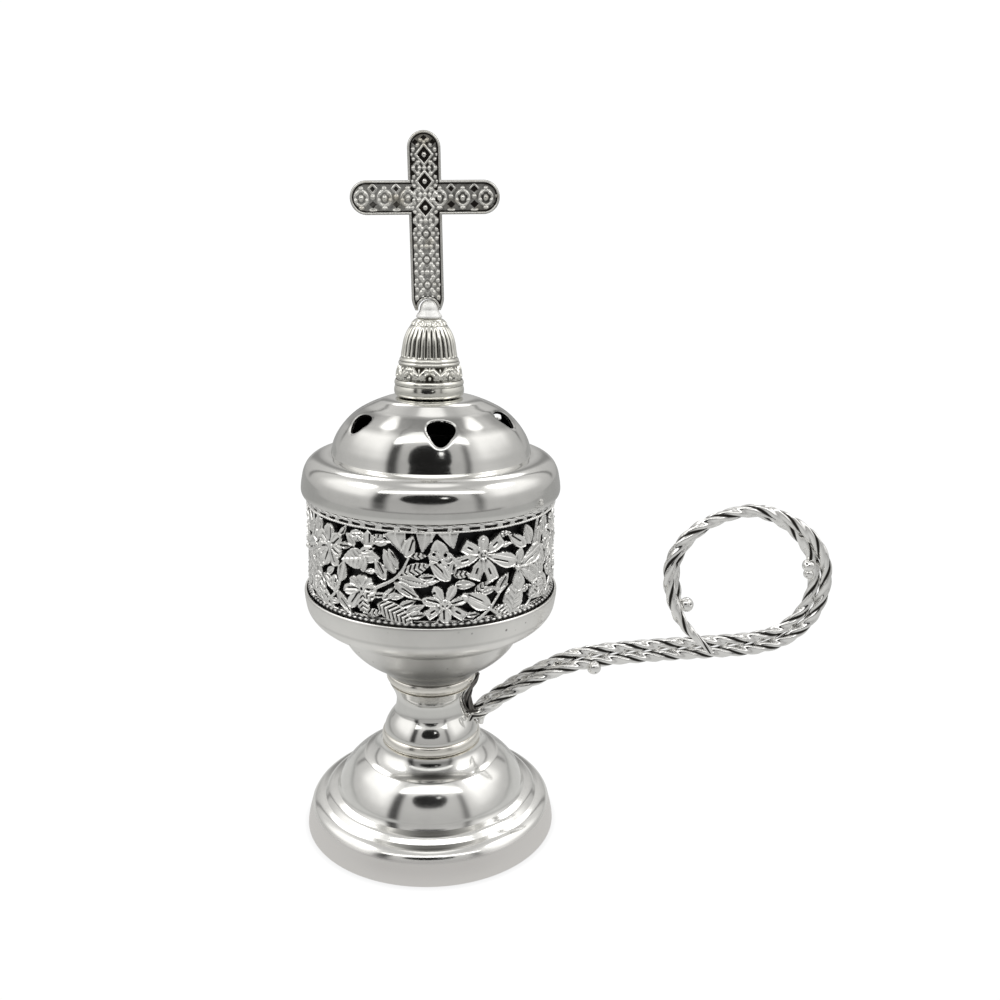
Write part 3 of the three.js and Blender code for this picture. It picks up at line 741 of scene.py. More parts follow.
# ------------------------------------------------------------------ handle
# x, z, y of the middle of the pair, then the gap between the strands
# across the loop's plane curve and along y
HANDLE = [
    (12.1, 32.4, 0, 0.5, 1.7), (14.5, 33.9, 0, 0.8, 3.2), (21.8, 39.3, 0, 1.0, 3.1),
    (30.8, 44.6, 0, 1.4, 3.0), (40.9, 48.7, 0, 2.6, 2.1), (49, 50.3, 0, 3, 1.4),
    (57.6, 51.2, 0, 3.05, 1.25), (70.3, 52.1, 0, 3.05, 1.25), (80.9, 52.7, 0, 3.05, 1.25),
    (95.2, 53.9, 0, 3.05, 1.25), (103, 56.4, 0, 3.05, 1.25), (109.3, 62.2, 0, 3.05, 1.25),
    (112.2, 69.9, 0, 3.05, 1.25), (112, 77.7, 0, 3, 1.3), (108.3, 84.7, -0.2, 2.6, 2.0),
    (102, 90.4, -0.5, 1.7, 2.8), (91.5, 94.4, -1, 1.3, 3), (80.5, 92.3, -1.6, 1.5, 2.9),
    (73, 87.6, -2.2, 1.9, 2.7), (68.5, 81, -2.9, 2.1, 2.5), (67.9, 74.8, -3.4, 2, 2.6),
    (70.2, 66.2, -4, 1.6, 2.9), (73, 61.6, -4.5, 1.2, 3.1), (77, 57.4, -4.8, 0.8, 3.2),
    (80.3, 54.1, -4.9, 0.6, 3.2)]


def strand_path(side, count):
    """Path of one strand through the first count stations; side -1 is the front one."""
    path = []
    for i in range(count):
        x, z, y, gap_plane, gap_y = HANDLE[i]
        before, after = HANDLE[max(0, i - 1)], HANDLE[min(len(HANDLE) - 1, i + 1)]
        tangent = np.array([after[0] - before[0], after[1] - before[1]])
        tangent /= np.linalg.norm(tangent)
        path.append((x - side * tangent[1] * gap_plane / 2, y + side * gap_y / 2,
                     z + side * tangent[0] * gap_plane / 2))
    return catmull(path, per_mm=2.6)


def twisted(length, pitch, radius, tip, phase, root=6.0, count=36):
    """Section of a twisted square bar, thinner over its root and tip lengths."""
    phi = angles(count)
    squareness = 5.0

    def section(s):
        k = phi - 2 * np.pi * s / pitch + phase
        sine, cosine = np.abs(np.sin(k)), np.abs(np.cos(k))
        rho = 1.0 / (cosine ** squareness + sine ** squareness) ** (1 / squareness)
        rho = rho * (1 - 0.10 * bell(sine, 0.28) - 0.04 * bell(cosine, 0.28))
        size = radius * (0.52 + 0.48 * ease((length - s) / tip)) * (0.80 + 0.20 * ease(s / root))
        size *= 1 + 0.012 * math.sin(s * 0.9) + 0.010 * math.sin(s * 2.3 + 1)
        dark_finish_and_shade = (0.02 + 0.95 * bell(sine, 0.34) + 0.30 * bell(cosine, 0.30)
                  - 0.30 * np.abs(np.sin(2 * k)) ** 3 + 0.14 * math.sin(s * 0.63))
        return circle(count) * (rho * size)[:, None], dark_finish_and_shade
    return section


def handle_strands():
    """The front strand runs to the loop's end, the back one stops three stations short."""
    for which, side, count, tip, phase in (("front", -1, len(HANDLE), 16.0, 0.3),
                                           ("back", 1, len(HANDLE) - 3, 6.0, 1.1)):
        path = strand_path(side, count)
        section = twisted(arc_lengths(path)[-1], pitch=20.0, radius=1.40, tip=tip, phase=phase)
        sweep("handle_" + which, path, section, handle_silver, "standing_part",
              replaces="handle_strand_" + which)


def handle_strap():
    """Thin twisted bar down the stem."""
    outline = [(13.35, 45.2), (12.95, 43.7), (12.05, 42.0), (11.25, 40.4), (10.85, 38.6),
               (10.9, 36.8), (11.35, 35.1), (12.25, 33.5), (13.3, 31.9), (14.1, 30.5),
               (14.6, 29.3)]          # x, z
    path = catmull([(x, 0, z) for x, z in outline], per_mm=3.0)
    section = twisted(arc_lengths(path)[-1], pitch=15.0, radius=0.80, tip=3.0, phase=0.2,
                      root=3.0, count=20)
    sweep("handle_strap_bar", path, section, strap_silver_painted_shade, "standing_part",
          replaces="handle_strap")


def handle_tail():
    """Short curl from the handle root down to the lower collar."""
    path = catmull([(17.4, 0, 36.2), (16.0, 0, 34.0), (14.9, 0, 31.7), (14.35, 0, 29.2)],
                   per_mm=3.0)
    length = arc_lengths(path)[-1]
    count = 26

    def section(s):
        size = 0.86 + 0.62 * ease((length - s) / length) - 0.5 * ease(1 - s / 1.6)
        outline = circle(count) * (size * (1 + 0.05 * np.cos(3 * angles(count) + s)))[:, None]
        return outline, np.full(count, 0.10 + 0.25 * ease(1 - s / 2.5))

    sweep("handle_tail", path, section, handle_silver, "standing_part")


def berry(number, centre, radius, axis):
    """Small cast berry: squashed and five-lobed, a dimple at its axis end, a low ring behind."""
    turn = Vector(axis).normalized().to_track_quat("Z", "Y").to_matrix()
    segments, rows = 40, 28

    def ring(theta, azimuths):
        size = radius * (1 - 0.05 * math.cos(2 * theta))
        size *= 1 + 0.07 * bell(theta - 2.35, 0.12) - 0.16 * bell(theta, 0.22)
        spots = []
        for a in azimuths:
            across = size * (1 + 0.012 * math.cos(5 * a) * math.sin(theta) ** 2) * math.sin(theta)
            local = Vector((across * math.cos(a), across * math.sin(a), size * math.cos(theta)))
            spots.append(np.array(centre) + np.array(turn @ local))
        return spots

    points, dark_finish_and_shade = [], []
    for theta in np.linspace(0, np.pi, rows + 1)[1:-1]:
        points += ring(theta, angles(segments))
        dark_finish_and_shade += [0.9 * bell(theta, 0.16) + 0.7 * bell(theta - 2.6, 0.14)] * segments
    top = np.full(segments, len(points))
    points += ring(0.0, [0.0]) + ring(math.pi, [0.0])
    dark_finish_and_shade += [0.9, 0.5]
    index = np.arange((rows - 1) * segments).reshape(rows - 1, segments)
    after = np.roll(index, -1, axis=1)
    faces = [np.stack([index[j], index[j + 1], after[j + 1], after[j]], 1)
             for j in range(rows - 2)]
    faces.append(np.stack([top, index[0], after[0]], 1))
    faces.append(np.stack([top + 1, after[-1], index[-1]], 1))
    build("berry_%d" % number, np.array(points), faces, handle_silver, "standing_part",
          dark_finish_and_shade=dark_finish_and_shade, replaces="handle_berry_%d" % number)


handle_strands()
handle_strap()
handle_tail()
berry(1, centre=(47.1, -2.4, 47.5), radius=1.95, axis=(0.2, -0.8, -0.6))
berry(2, centre=(72.7, -3.5, 67.3), radius=2.0, axis=(0.5, -0.8, 0.3))
berry(3, centre=(108.3, -0.9, 78.1), radius=1.75, axis=(-0.6, -0.7, 0.5))
berry(4, centre=(108.7, -0.6, 75.4), radius=1.45, axis=(-0.6, -0.7, -0.4))

# ------------------------------------------------------------------ gallery ornament
# The band is laid out flat: millimetres along it and height. It repeats three times round.
BAND_RADIUS = 33.9
TILE = BAND_RADIUS * math.radians(120.0)

# (along, height) points, half width at the start and at the end
STEMS = [
    ([(-15.43, 82.3), (-12.8, 83.67), (-10.95, 84.65), (-9.14, 85.94), (-7.75, 87.63),
      (-6.73, 89.33), (-5.87, 91.16), (-4.99, 92.5), (-4.13, 93.66)], 0.62, 0.3),
    ([(-31.67, 75.63), (-28.65, 78.23), (-27.17, 80.16), (-25.95, 82.67), (-25.14, 85.56),
      (-24.38, 88.07)], 0.5, 0.5),
    ([(-31.1, 74.58), (-25.27, 74.4)], 0.3, 0.3),
    ([(-41.67, 76.61), (-36.81, 75.58), (-32.67, 74.97)], 0.35, 0.35),
    ([(0.28, 98.37), (0.01, 95.66)], 0.28, 0.28),
    ([(1.96, 75.83), (0.87, 73.61)], 0.32, 0.32),
    ([(9.33, 73.03), (12.52, 74.86), (15.32, 76.77), (17.12, 78.98), (18.6, 81.05),
      (20.77, 82.47)], 0.55, 0.35),
    ([(15.24, 77.02), (18.76, 74.22), (21.69, 71.82), (24.88, 70.81)], 0.5, 0.5),
    ([(32.2, 97.57), (30.98, 91.08)], 0.5, 0.5),
    ([(35.49, 97.11), (36.82, 88.82)], 0.6, 0.6),
    ([(27.5, 74.6), (31.0, 76.6), (34.5, 76.2), (38.0, 77.4)], 0.42, 0.42),
]
# by style: base along, base height, tip along, tip height, half width, lift
LEAVES = {
    "wedge": [
        (-9.35, 98.22, -7.18, 92.37, 2.3, 0), (-1.45, 98.46, -2.28, 92.91, 1.9, 0),
        (4.25, 98.44, 5.52, 93.73, 2.0, 0)],
    "outlined": [
        (-6.4, 91.45, -4.51, 97.55, 1.25, 0.15), (-8.32, 88.24, -11.01, 93.83, 0.8, 0),
        (-11.71, 85.09, -14.59, 90.42, 1.15, 0), (-9.54, 84.86, -2.4, 80.4, 1.15, 0),
        (-16.68, 92.95, -16.48, 97.68, 1.45, 0), (-19.12, 91.68, -14.38, 93.28, 0.8, 0),
        (-27.54, 79.83, -33.24, 82.94, 1.2, 0), (-27.39, 79.59, -21.45, 73.97, 1.1, 0),
        (-36.09, 93.25, -34.81, 98.13, 1.5, 0), (-39.96, 80.01, -40.31, 87.94, 1.8, 0),
        (-41.67, 76.61, -35.2, 80.81, 1.8, 0), (4.73, 85.41, -0.69, 90.89, 1.35, 0),
        (4.88, 87.11, 6.1, 91.43, 0.85, 0), (15.74, 77.27, 7.71, 81.9, 1.65, 0),
        (17.16, 80.72, 21.05, 85.78, 1.15, 0), (19.81, 76.9, 21.52, 81.12, 0.8, 0),
        (43.17, 72.48, 32.5, 80.83, 1.6, 0), (27.32, 91.46, 20.41, 95.87, 1.2, 0),
        (42.13, 79.02, 43.09, 83.74, 1.6, 0), (-34.2, 84.0, -34.9, 91.5, 1.5, 0),
        (38.5, 77.5, 34.0, 82.5, 1.3, 0)],
    "ribbed": [
        (-9.29, 87.01, -12.27, 93.37, 1.25, 0), (-8.5, 86.16, -0.54, 84.15, 1.15, 0),
        (-18.38, 90.72, -12.98, 90.76, 1.3, 0.1), (-18.38, 90.89, -18.02, 86.34, 1.15, 0.2),
        (-20.66, 92.62, -23.38, 96.03, 0.9, 0), (-25.96, 82.33, -24.37, 88.41, 1.3, 0),
        (-40.31, 87.94, -36.55, 96.18, 1.6, 0), (2.53, 90.79, 1.07, 96.35, 1.7, 0),
        (2.84, 91.1, 5.72, 91.78, 1.2, 0), (2.07, 90.96, -1.0, 92.5, 1.2, 0),
        (4.82, 85.8, 2.22, 91.6, 0.7, 0), (5.78, 84.27, 11.54, 83.87, 1.0, -0.25),
        (35.1, 80.22, 33.88, 87.05, 1.4, 0), (29.2, 91.53, 27.08, 97.38, 1.5, 0),
        (-36.0, 92.5, -33.5, 97.5, 1.3, 0)],
    "veined": [
        (-7.37, 87.33, -0.08, 89.92, 1.2, 0), (-37.65, 76.53, -37.78, 80.7, 2.4, 0),
        (-14.07, 78.84, -4.44, 74.28, 1.85, 0.1), (16.64, 76.97, 22.75, 72.76, 1.4, 0),
        (22.53, 72.82, 30.62, 74.21, 1.5, 0)],
    "midrib": [
        (-17.09, 90.28, -24.95, 88.54, 2.0, 0.1), (21.71, 74.23, 25.01, 83.54, 2.6, 0),
        (35.0, 90.0, 34.0, 83.5, 1.5, 0)],
}
# centre along and height, boss radius, boss style, lift of the petals,
# then the petals: tip along, tip height, half width, style
FLOWERS = [
    (-18.37, 82.03, 1.25, "ring", 0.25, [
        (-24.24, 80.89, 1.25, "outlined"), (-22.1, 84.39, 1.1, "ribbed"),
        (-18.1, 85.93, 1.5, "ribbed"), (-15.38, 85.12, 1.0, "ribbed"),
        (-14.02, 82.74, 1.15, "outlined"), (-14.87, 79.39, 1.1, "veined"),
        (-17.63, 75.45, 1.35, "veined"), (-22.4, 76.34, 1.3, "outlined")]),
    (-29.46, 91.23, 1.2, "rosette", 0.2, [
        (-29.75, 97.16, 1.5, "outlined"), (-25.3, 94.83, 1.3, "outlined"),
        (-25.01, 89.6, 1.5, "outlined"), (-27.05, 85.95, 1.3, "outlined"),
        (-32.44, 85.39, 1.3, "outlined"), (-35.03, 89.11, 1.6, "outlined"),
        (-34.36, 93.7, 1.6, "outlined")]),
    (3.35, 79.28, 1.6, "rosette", 0.15, [
        (0.54, 84.24, 1.15, "ribbed"), (5.9, 84.42, 1.05, "ribbed"),
        (9.25, 80.65, 1.0, "outlined"), (8.65, 75.6, 1.15, "square"),
        (3.53, 74.26, 1.3, "outlined"), (-1.37, 76.27, 1.15, "square"),
        (-2.49, 80.73, 1.15, "outlined")]),
    (13.3, 91.55, 1.45, "rosette", 0.2, [
        (7.72, 94.65, 1.4, "square"), (5.55, 90.01, 1.25, "square"),
        (10.68, 85.2, 1.35, "square"), (16.34, 84.39, 1.35, "square"),
        (23.48, 88.05, 1.7, "outlined"), (18.66, 95.18, 1.35, "square"),
        (13.04, 96.79, 1.25, "ribbed")]),
    (13.06, 95.49, 0.5, "dome", 0, []),
    (23.98, 86.32, 0.8, "dome", 0.05, [
        (25.35, 91.24, 1.2, "ribbed"), (34.44, 89.76, 2.0, "outlined"),
        (33.49, 81.69, 1.8, "ribbed"), (24.95, 79.62, 1.8, "ribbed"),
        (20.73, 88.69, 0.8, "ribbed")]),
]
# round holes: centre along, height, radius; the first pierces the ring boss
DOT_HOLES = [(-18.37, 82.03, 0.42), (0.59, 92.44, 0.42), (3.45, 92.21, 0.5), (0.7, 82.4, 0.4)]
# plain rims: height, half width, lift, ripple height, ripples per tile
RIMS = [(98.1, 0.42, 0.85, 0.10, 84), (74.32, 0.22, 0.30, 0.12, 46)]


def all_leaves():
    """(base, tip, half width, lift, style, is a petal) for leaves and petals."""
    leaves = [((bx, by), (tx, ty), width, lift, style, False)
              for style, rows in LEAVES.items() for bx, by, tx, ty, width, lift in rows]
    leaves += [((cx, cy), (tx, ty), width, lift, style, True)
               for cx, cy, _, _, lift, petals in FLOWERS for tx, ty, width, style in petals]
    return leaves


# Each relief function gives the inset from the shape's outline (negative outside)
# and the height of the relief, at points x along and y up.
def stem_relief(x, y, line, widths):
    best = np.full(x.shape, -9.0)
    middle = np.full(x.shape, 9.0)
    for k in range(len(line) - 1):
        a, b = line[k], line[k + 1]
        ab = b - a
        t = np.clip(((x - a[0]) * ab[0] + (y - a[1]) * ab[1]) / (ab @ ab + 1e-9), 0, 1)
        d = np.hypot(x - a[0] - t * ab[0], y - a[1] - t * ab[1])
        inset = widths[k] + (widths[k + 1] - widths[k]) * t - d
        middle = np.where(inset > best, d, middle)
        best = np.maximum(best, inset)
    share = np.clip(middle / np.maximum(middle + best, 1e-3), 0, 1)
    height = 0.45 + 0.50 * np.sqrt(1 - share**2 * 0.98) - 0.34 * bell(middle, 0.13)
    return best, height * ease(best / 0.14 + 0.25)


def leaf_relief(x, y, direction, length, width, lift, style, petal):
    """x and y are taken from the leaf's base."""
    ex, ey = direction
    along = x * ex + y * ey
    across = -x * ey + y * ex
    s = np.clip(along / length, 0, 1)
    width *= 1.30 if petal else 1.42
    if style == "wedge":
        half = width * np.clip(1.02 - s, 0, 1) ** 0.85 + 0.12
    elif style == "square":
        half = width * np.clip((s - 0.12) / 0.42, 0, 1) ** 0.6
    elif petal:
        half = width * np.sin(np.pi * np.clip(s, 0, 1) ** 1.75) ** 0.55
    else:
        half = width * np.sin(np.pi * s ** 0.78) ** 0.85
    off = np.abs(across)
    inset = np.minimum(np.minimum(half - off, along + 0.05), length - along)
    dome = np.sqrt(1 - 0.96 * np.clip(off / np.maximum(half, 0.05), 0, 1)**2)
    if style in ("ribbed", "wedge"):
        rib = 0.26 * bell(across, 0.13) * (s > 0.08) * (s < 0.92)
        height = 0.34 + 0.22 * dome + 0.36 * bell(inset - 0.20, 0.15) + rib
    elif style == "outlined":
        height = 0.46 + 0.12 * dome + 0.46 * bell(inset - 0.22, 0.15)
        groove = bell(across + 0.18 * width, 0.15)
        groove = groove * ease((s - 0.25) / 0.1) * ease((0.85 - s) / 0.1)
        height = height - 0.52 * groove + 0.22 * bell(across - 0.25 * width, 0.16)
    elif style == "veined":
        height = 0.42 + 0.30 * dome + 0.24 * bell(inset - 0.20, 0.14)
        vein = np.cos(2 * np.pi * (along - 0.75 * off) / 1.25)
        height = height + 0.20 * vein * ease(inset / 0.4) + 0.22 * bell(across, 0.16)
        height = height - 0.25 * (vein < -0.75) * ease(inset / 0.35)
    elif style == "midrib":
        height = 0.36 + 0.34 * dome + 0.30 * bell(across, 0.20) + 0.16 * bell(inset - 0.2, 0.14)
        height = height + 0.07 * np.cos(2 * np.pi * (along - 0.6 * off) / 1.5)
    else:
        height = 0.50 + 0.46 * bell(inset - 0.20, 0.15)
        groove = 0.50 * bell(across, 0.17) * ease((s - 0.48) / 0.08) * ease((0.80 - s) / 0.08)
        height = height - groove
        height = height + 0.20 * bell(off - 0.42 * width, 0.14) * ease((s - 0.4) / 0.1)
    if petal:
        height = height + 0.10 - 0.22 * ease((0.35 - s) / 0.2)
    return inset, (height + lift) * ease(inset / 0.13 + 0.30)


def boss_relief(rho, radius, style):
    """rho is the distance from the boss centre."""
    if style == "dome":
        return radius - rho, 0.70 + 0.60 * round_top(1 - (rho / radius) ** 2)
    if style == "rosette":
        height = (0.62 + 0.55 * bell(rho - 0.72 * radius, 0.22) + 0.42 * bell(rho, 0.33 * radius)
                  - 0.10 * bell(rho - 0.42 * radius, 0.16))
    else:
        height = 0.62 + 0.50 * bell(rho - 0.62 * radius, 0.24)
    return radius - rho, height * ease((radius - rho) / 0.2 + 0.5)


def band_field(leaves, count, z):
    """Grid positions, signed outline field and relief height of one third of the band."""
    along = (np.arange(count + 1) / count - 0.5) * TILE
    U, Z = np.meshgrid(along, z, indexing="ij")
    field = np.full(U.shape, -2.0)
    relief = np.zeros(U.shape)

    def paint(mask, inset, height):
        old = relief[mask]
        relief[mask] = np.where(inset > -0.02, np.maximum(old, height), old)
        field[mask] = np.maximum(field[mask], inset)

    def near(low_u, high_u, low_z, high_z, margin):
        return ((U > low_u - margin) & (U < high_u + margin)
                & (Z > low_z - margin) & (Z < high_z + margin))

    for shift in (-TILE, 0.0, TILE):
        for points, start, end in STEMS:
            line = np.array([(x + shift, y) for x, y in points])
            if len(line) > 2:
                line = catmull(np.column_stack([line, np.zeros(len(line))]), per_mm=2.0)[:, :2]
            low, high = line.min(0), line.max(0)
            mask = near(low[0], high[0], low[1], high[1], 1.2)
            if mask.any():
                widths = np.linspace(start, end, len(line))
                paint(mask, *stem_relief(U[mask], Z[mask], line, widths))
        for (bx, by), (tx, ty), width, lift, style, petal in leaves:
            bx, tx = bx + shift, tx + shift
            length = math.hypot(tx - bx, ty - by)
            direction = (tx - bx) / length, (ty - by) / length
            mask = near(min(bx, tx), max(bx, tx), min(by, ty), max(by, ty), width * 1.5)
            if mask.any():
                paint(mask, *leaf_relief(U[mask] - bx, Z[mask] - by, direction, length, width,
                                         lift, style, petal))
        for cx, cy, radius, style, _, _ in FLOWERS:
            cx = cx + shift
            mask = near(cx, cx, cy, cy, radius + 0.4)
            if mask.any():
                rho = np.hypot(U[mask] - cx, Z[mask] - cy)
                paint(mask, *boss_relief(rho, radius, style))
    for level, half, lift, ripple, ripples in RIMS:
        inset = half - np.abs(Z - level)
        wave = ripple * np.sin(U * 2 * np.pi / (TILE / ripples)) * (inset > 0)
        height = 0.45 + lift * 0.6 * round_top(1 - ((Z - level) / half) ** 2) + wave
        paint(np.ones(U.shape, bool), inset.ravel(), height.ravel())
    for cx, cy, radius in DOT_HOLES:
        field = np.minimum(field, np.hypot(U - cx, Z - cy) - radius)
    return U, Z, field, relief


def filler_leaves(leaves):
    """Small extra leaves in the middling gaps of the openwork; large gaps stay open."""
    limit, step = 26, 0.42
    U, Z, field, _ = band_field(leaves, int(round(TILE / step)), np.arange(74.3, 98.2, step))
    # the last column repeats the first
    metal = field[:-1] > 0
    spots = np.stack([U[:-1].ravel(), Z[:-1].ravel()], 1)
    rng = np.random.default_rng(5)
    added = []
    clearance = np.full(len(spots), 99.0)
    blocked = np.zeros(len(spots), bool)

    def measure(source):
        """Lower the clearance to the distance from the source points."""
        for shift in (-TILE, 0.0, TILE):
            moved = source + np.array([shift, 0.0])
            for part in np.array_split(moved, max(1, len(source) // 400)):
                d = np.sqrt(((spots[:, None, :] - part[None, :, :]) ** 2).sum(2)).min(1)
                np.minimum(clearance, d, out=clearance)

    def distances(spot):
        return np.hypot(spots[:, 0] - spot[0], spots[:, 1] - spot[1])

    def narrowest(centre, gap):
        """Direction, out of twelve, in which metal lies closest on both sides."""
        best, angle = 99.0, 0.0
        for t in np.arange(0, np.pi, np.pi / 12) + rng.random() * 0.2:
            direction = np.array([math.cos(t), math.sin(t)])
            reach = 0.0
            for sign in (-1, 1):
                probe = centre + sign * direction * (gap + 0.5)
                probe[0] = (probe[0] + TILE / 2) % TILE - TILE / 2
                reach += clearance[np.argmin(distances(probe))]
            if reach < best:
                best, angle = reach, t
        return np.array([math.cos(angle), math.sin(angle)])

    measure(spots[metal.ravel()])
    for _ in range(limit * 3):
        if len(added) >= limit:
            break
        outside = blocked | (spots[:, 1] < 75.6) | (spots[:, 1] > 96.6)
        free = np.where(outside, 0.0, clearance)
        widest = int(np.argmax(free))
        gap, centre = free[widest], spots[widest]
        if gap < 0.85:
            break
        if gap > 2.75:
            blocked |= distances(centre) < 2.2
            continue
        direction = narrowest(centre, gap)
        half_length = gap + 0.75
        base, tip = centre - direction * half_length, centre + direction * half_length
        width = 0.50 * min(gap, 1.7)
        style = ("ribbed", "veined", "midrib", "outlined")[int(rng.integers(0, 4))]
        lift = -0.10 - 0.12 * rng.random()
        if min(base[1], tip[1]) > 74.6 and max(base[1], tip[1]) < 97.8:
            added.append((tuple(base), tuple(tip), width, lift, style, False))
        t = np.linspace(-half_length, half_length, 24)
        measure(centre[None, :] + direction[None, :] * t[:, None])
        clearance[:] = np.where(clearance < width * 0.9, 0.0, clearance)
        blocked |= distances(centre) < 0.8
    return added


def gallery_panels():
    step = 0.175
    leaves = all_leaves()
    leaves += filler_leaves(leaves)
    U, Z, field, relief = band_field(leaves, int(round(TILE / step)),
                                     np.arange(74.05, 98.66, step))
    # slow hand-made unevenness of the casting, periodic round the band
    phase = 2 * np.pi * U / TILE
    uneven = (0.05 * np.sin(5 * phase + 0.7 * Z) + 0.04 * np.sin(9 * phase - 1.1 * Z + 1)
              + 0.03 * np.sin(17 * phase + 0.9 * Z + 2))
    relief = np.where(field > -0.35, np.maximum(relief, 0.18), relief)
    relief = blur(relief, 0.55)
    broad = blur(np.where(field > 0, relief, 0.35), 3.4)
    # darker along the cut edges of the openwork
    cut_edge_darkening = 0.45 * ease(1 - field / 0.16) * (field < 0.16)
    dark_finish_and_shade = np.clip((broad - relief) * 3.1 + 0.12 + cut_edge_darkening, -1, 1.4)
    outer = 32.90 + relief * 1.20 + uneven * (field > 0)
    inner = 32.45 + 0.25 * relief
    for k in range(3):
        angle = U / BAND_RADIUS + k * 2 * math.pi / 3
        cut_sheet("gallery_panel_%d" % (k + 1), around(outer, angle, Z), around(inner, angle, Z),
                  field, False, relief_silver, "gallery", dark_finish_and_shade, np.full(field.shape, 0.55),
                  sharp=62, replaces="gallery_band" if k == 0 else None)


# ------------------------------------------------------------------ gallery wires and necks
def ring_path(radius, z, count, wobble):
    angle = angles(count)
    shift = wobble * (np.sin(7 * angle) + 0.6 * np.sin(13 * angle + 1))
    return around(radius + shift, angle, z + shift * 0.5)


def gallery_rope():
    """Two wires twisted together round the top."""
    radius, thickness, half_turns, count = 33.8, 0.56, 62, 16
    total = 2 * np.pi * radius

    def section(s):
        k = np.abs(np.cos(angles(count) - math.pi * half_turns * s / total))
        outline = circle(count) * (thickness * (0.74 + 0.26 * k ** 1.3))[:, None]
        return outline, 0.75 * bell(k, 0.22)

    sweep("gallery_rope", ring_path(radius, 99.62, 1500, wobble=0.05), section, wire_silver,
          "gallery", closed=True, up=(1, 0, 0), replaces="gallery_top_wire")


def gallery_foot_wire():
    """Beaded wire round the bottom, dark between its beads and darkened all along by painted
    shade where it sits in the bowl's lip.
    """
    count = 14
    beads_per_mm = 120 / 33.7     # phase in radians per mm

    def section(s):
        bead = s * beads_per_mm
        size = 0.34 + 0.04 * math.sin(bead) + 0.02 * math.sin(s * 0.71)
        return circle(count) * size, np.full(count, 0.45 + 0.25 * math.sin(bead + math.pi))

    sweep("gallery_foot_wire", ring_path(33.95, 73.95, 1080, wobble=0.03), section, wire_silver,
          "gallery", closed=True, up=(1, 0, 0), replaces="gallery_bottom_wire")


def gallery_links():
    """Short cast links between the rope and the rim, uneven as cast."""
    count, sides = 48, 10
    profile = [(-0.5, 1.25), (-0.2, 1.0), (0.1, 0.9), (0.45, 1.05), (0.8, 1.35)]  # dz, width
    turn = angles(sides)
    rng = np.random.default_rng(11)
    points, faces, dark_finish_and_shade = [], [], []
    for k in range(count):
        angle = 2 * math.pi * (k + 0.18 * (rng.random() - 0.5)) / count
        width = 0.62 + 0.42 * rng.random()
        for dz, factor in profile:
            offset = width * factor * np.cos(turn) / 33.6
            points.append(around(33.45 + 0.42 * np.sin(turn), angle + offset, 98.8 + dz))
            dark_finish_and_shade += [0.1 + 0.3 * (abs(dz) > 0.4)] * sides
        start = k * sides * len(profile)
        for j in range(len(profile) - 1):
            ring = start + j * sides + np.arange(sides)
            faces.append(strip(ring, ring + sides))
    mesh = build("gallery_links", np.vstack(points), faces, wire_silver, "gallery",
                 dark_finish_and_shade=dark_finish_and_shade).data
    closed = bmesh.new()
    closed.from_mesh(mesh)
    open_edges = [edge for edge in closed.edges if edge.is_boundary]
    bmesh.ops.holes_fill(closed, edges=open_edges, sides=12)
    bmesh.ops.recalc_face_normals(closed, faces=closed.faces)
    closed.to_mesh(mesh)
    closed.free()
    mesh.polygons.foreach_set("use_smooth", np.ones(len(mesh.polygons), dtype=bool))


def gallery_necks():
    top = [(32.55, 98.3, "l"), (32.85, 98.45, "c"), (32.9, 99.0), (32.9, 102.2), (32.75, 102.55),
           (32.45, 102.55), (32.25, 102.3, "c"), (32.2, 98.6, "l"), (32.3, 98.3)]
    bottom = [(32.4, 70.25, "l"), (32.8, 70.25, "c"), (32.9, 70.6), (32.9, 73.9), (33.3, 74.35),
              (33.1, 74.75), (32.5, 74.8), (32.25, 74.4, "c"), (32.2, 70.6, "l"), (32.3, 70.25)]
    for name, outline in (("gallery_neck_top", top), ("gallery_neck_foot", bottom)):
        lathe(name, refine(outline, step=0.6), MID_SEGMENTS, neck_silver, "gallery", sharp=50)


gallery_panels()
gallery_rope()
gallery_foot_wire()
gallery_links()
gallery_necks()


# ------------------------------------------------------------------ charcoal cup
def charcoal_cup():
    profile = refine([
        (0, 62.8, "l"), (26.2, 62.8, "c"), (27.6, 63.3), (29.5, 64.9), (30.8, 67.2),
        (31.15, 70.0), (31.2, 98.5, "c"), (31.6, 98.65), (31.75, 99.1), (31.55, 99.55),
        (31.0, 99.65), (30.5, 99.5), (30.4, 98.9, "c"), (30.4, 70.4), (30.0, 68.4),
        (29.2, 66.6), (27.9, 65.1), (26.2, 64.1, "c"), (0, 64.0)], step=0.8)
    lathe("cup_liner", profile, MID_SEGMENTS, liner_iron, "cup", replaces="charcoal_cup",
          slot="dark_iron", sharp=40)


charcoal_cup()

# ------------------------------------------------------------------ lid
LID_CREASE = (27.1, 110.95)
# azimuth in degrees, width and height factors, shift up the slope in mm, turn in degrees
HOLES = ((-60.0, 0.95, 0.76, 0.8, 4.0), (6.0, 0.94, 0.92, 0.3, -7.0),
         (69.0, 0.92, 0.74, 1.9, -5.0), (126.0, 1.0, 0.9, 0.6, 3.0),
         (185.0, 1.0, 0.95, 0.3, -4.0), (243.5, 0.98, 0.9, 0.5, 5.0))


def hole_shape():
    """Rounded heart-like outline from six quadratic curves, ten points each."""
    w, h = 4.1, 4.4               # half width and half height
    curves = [((0, -h), (w * 0.40, -h), (w * 0.70, -h * 0.35)),
              ((w * 0.70, -h * 0.35), (w * 1.16, h * 0.30), (w * 0.85, h * 0.72)),
              ((w * 0.85, h * 0.72), (w * 0.6, h), (0, h))]
    # the left half mirrors the right half, run backwards
    curves += [tuple((-x, y) for x, y in curve[::-1]) for curve in curves[::-1]]
    t = np.linspace(0, 1, 10, endpoint=False)[:, None]
    return np.vstack([(1 - t) ** 2 * np.array(a) + 2 * t * (1 - t) * np.array(b)
                      + t * t * np.array(c) for a, b, c in curves])


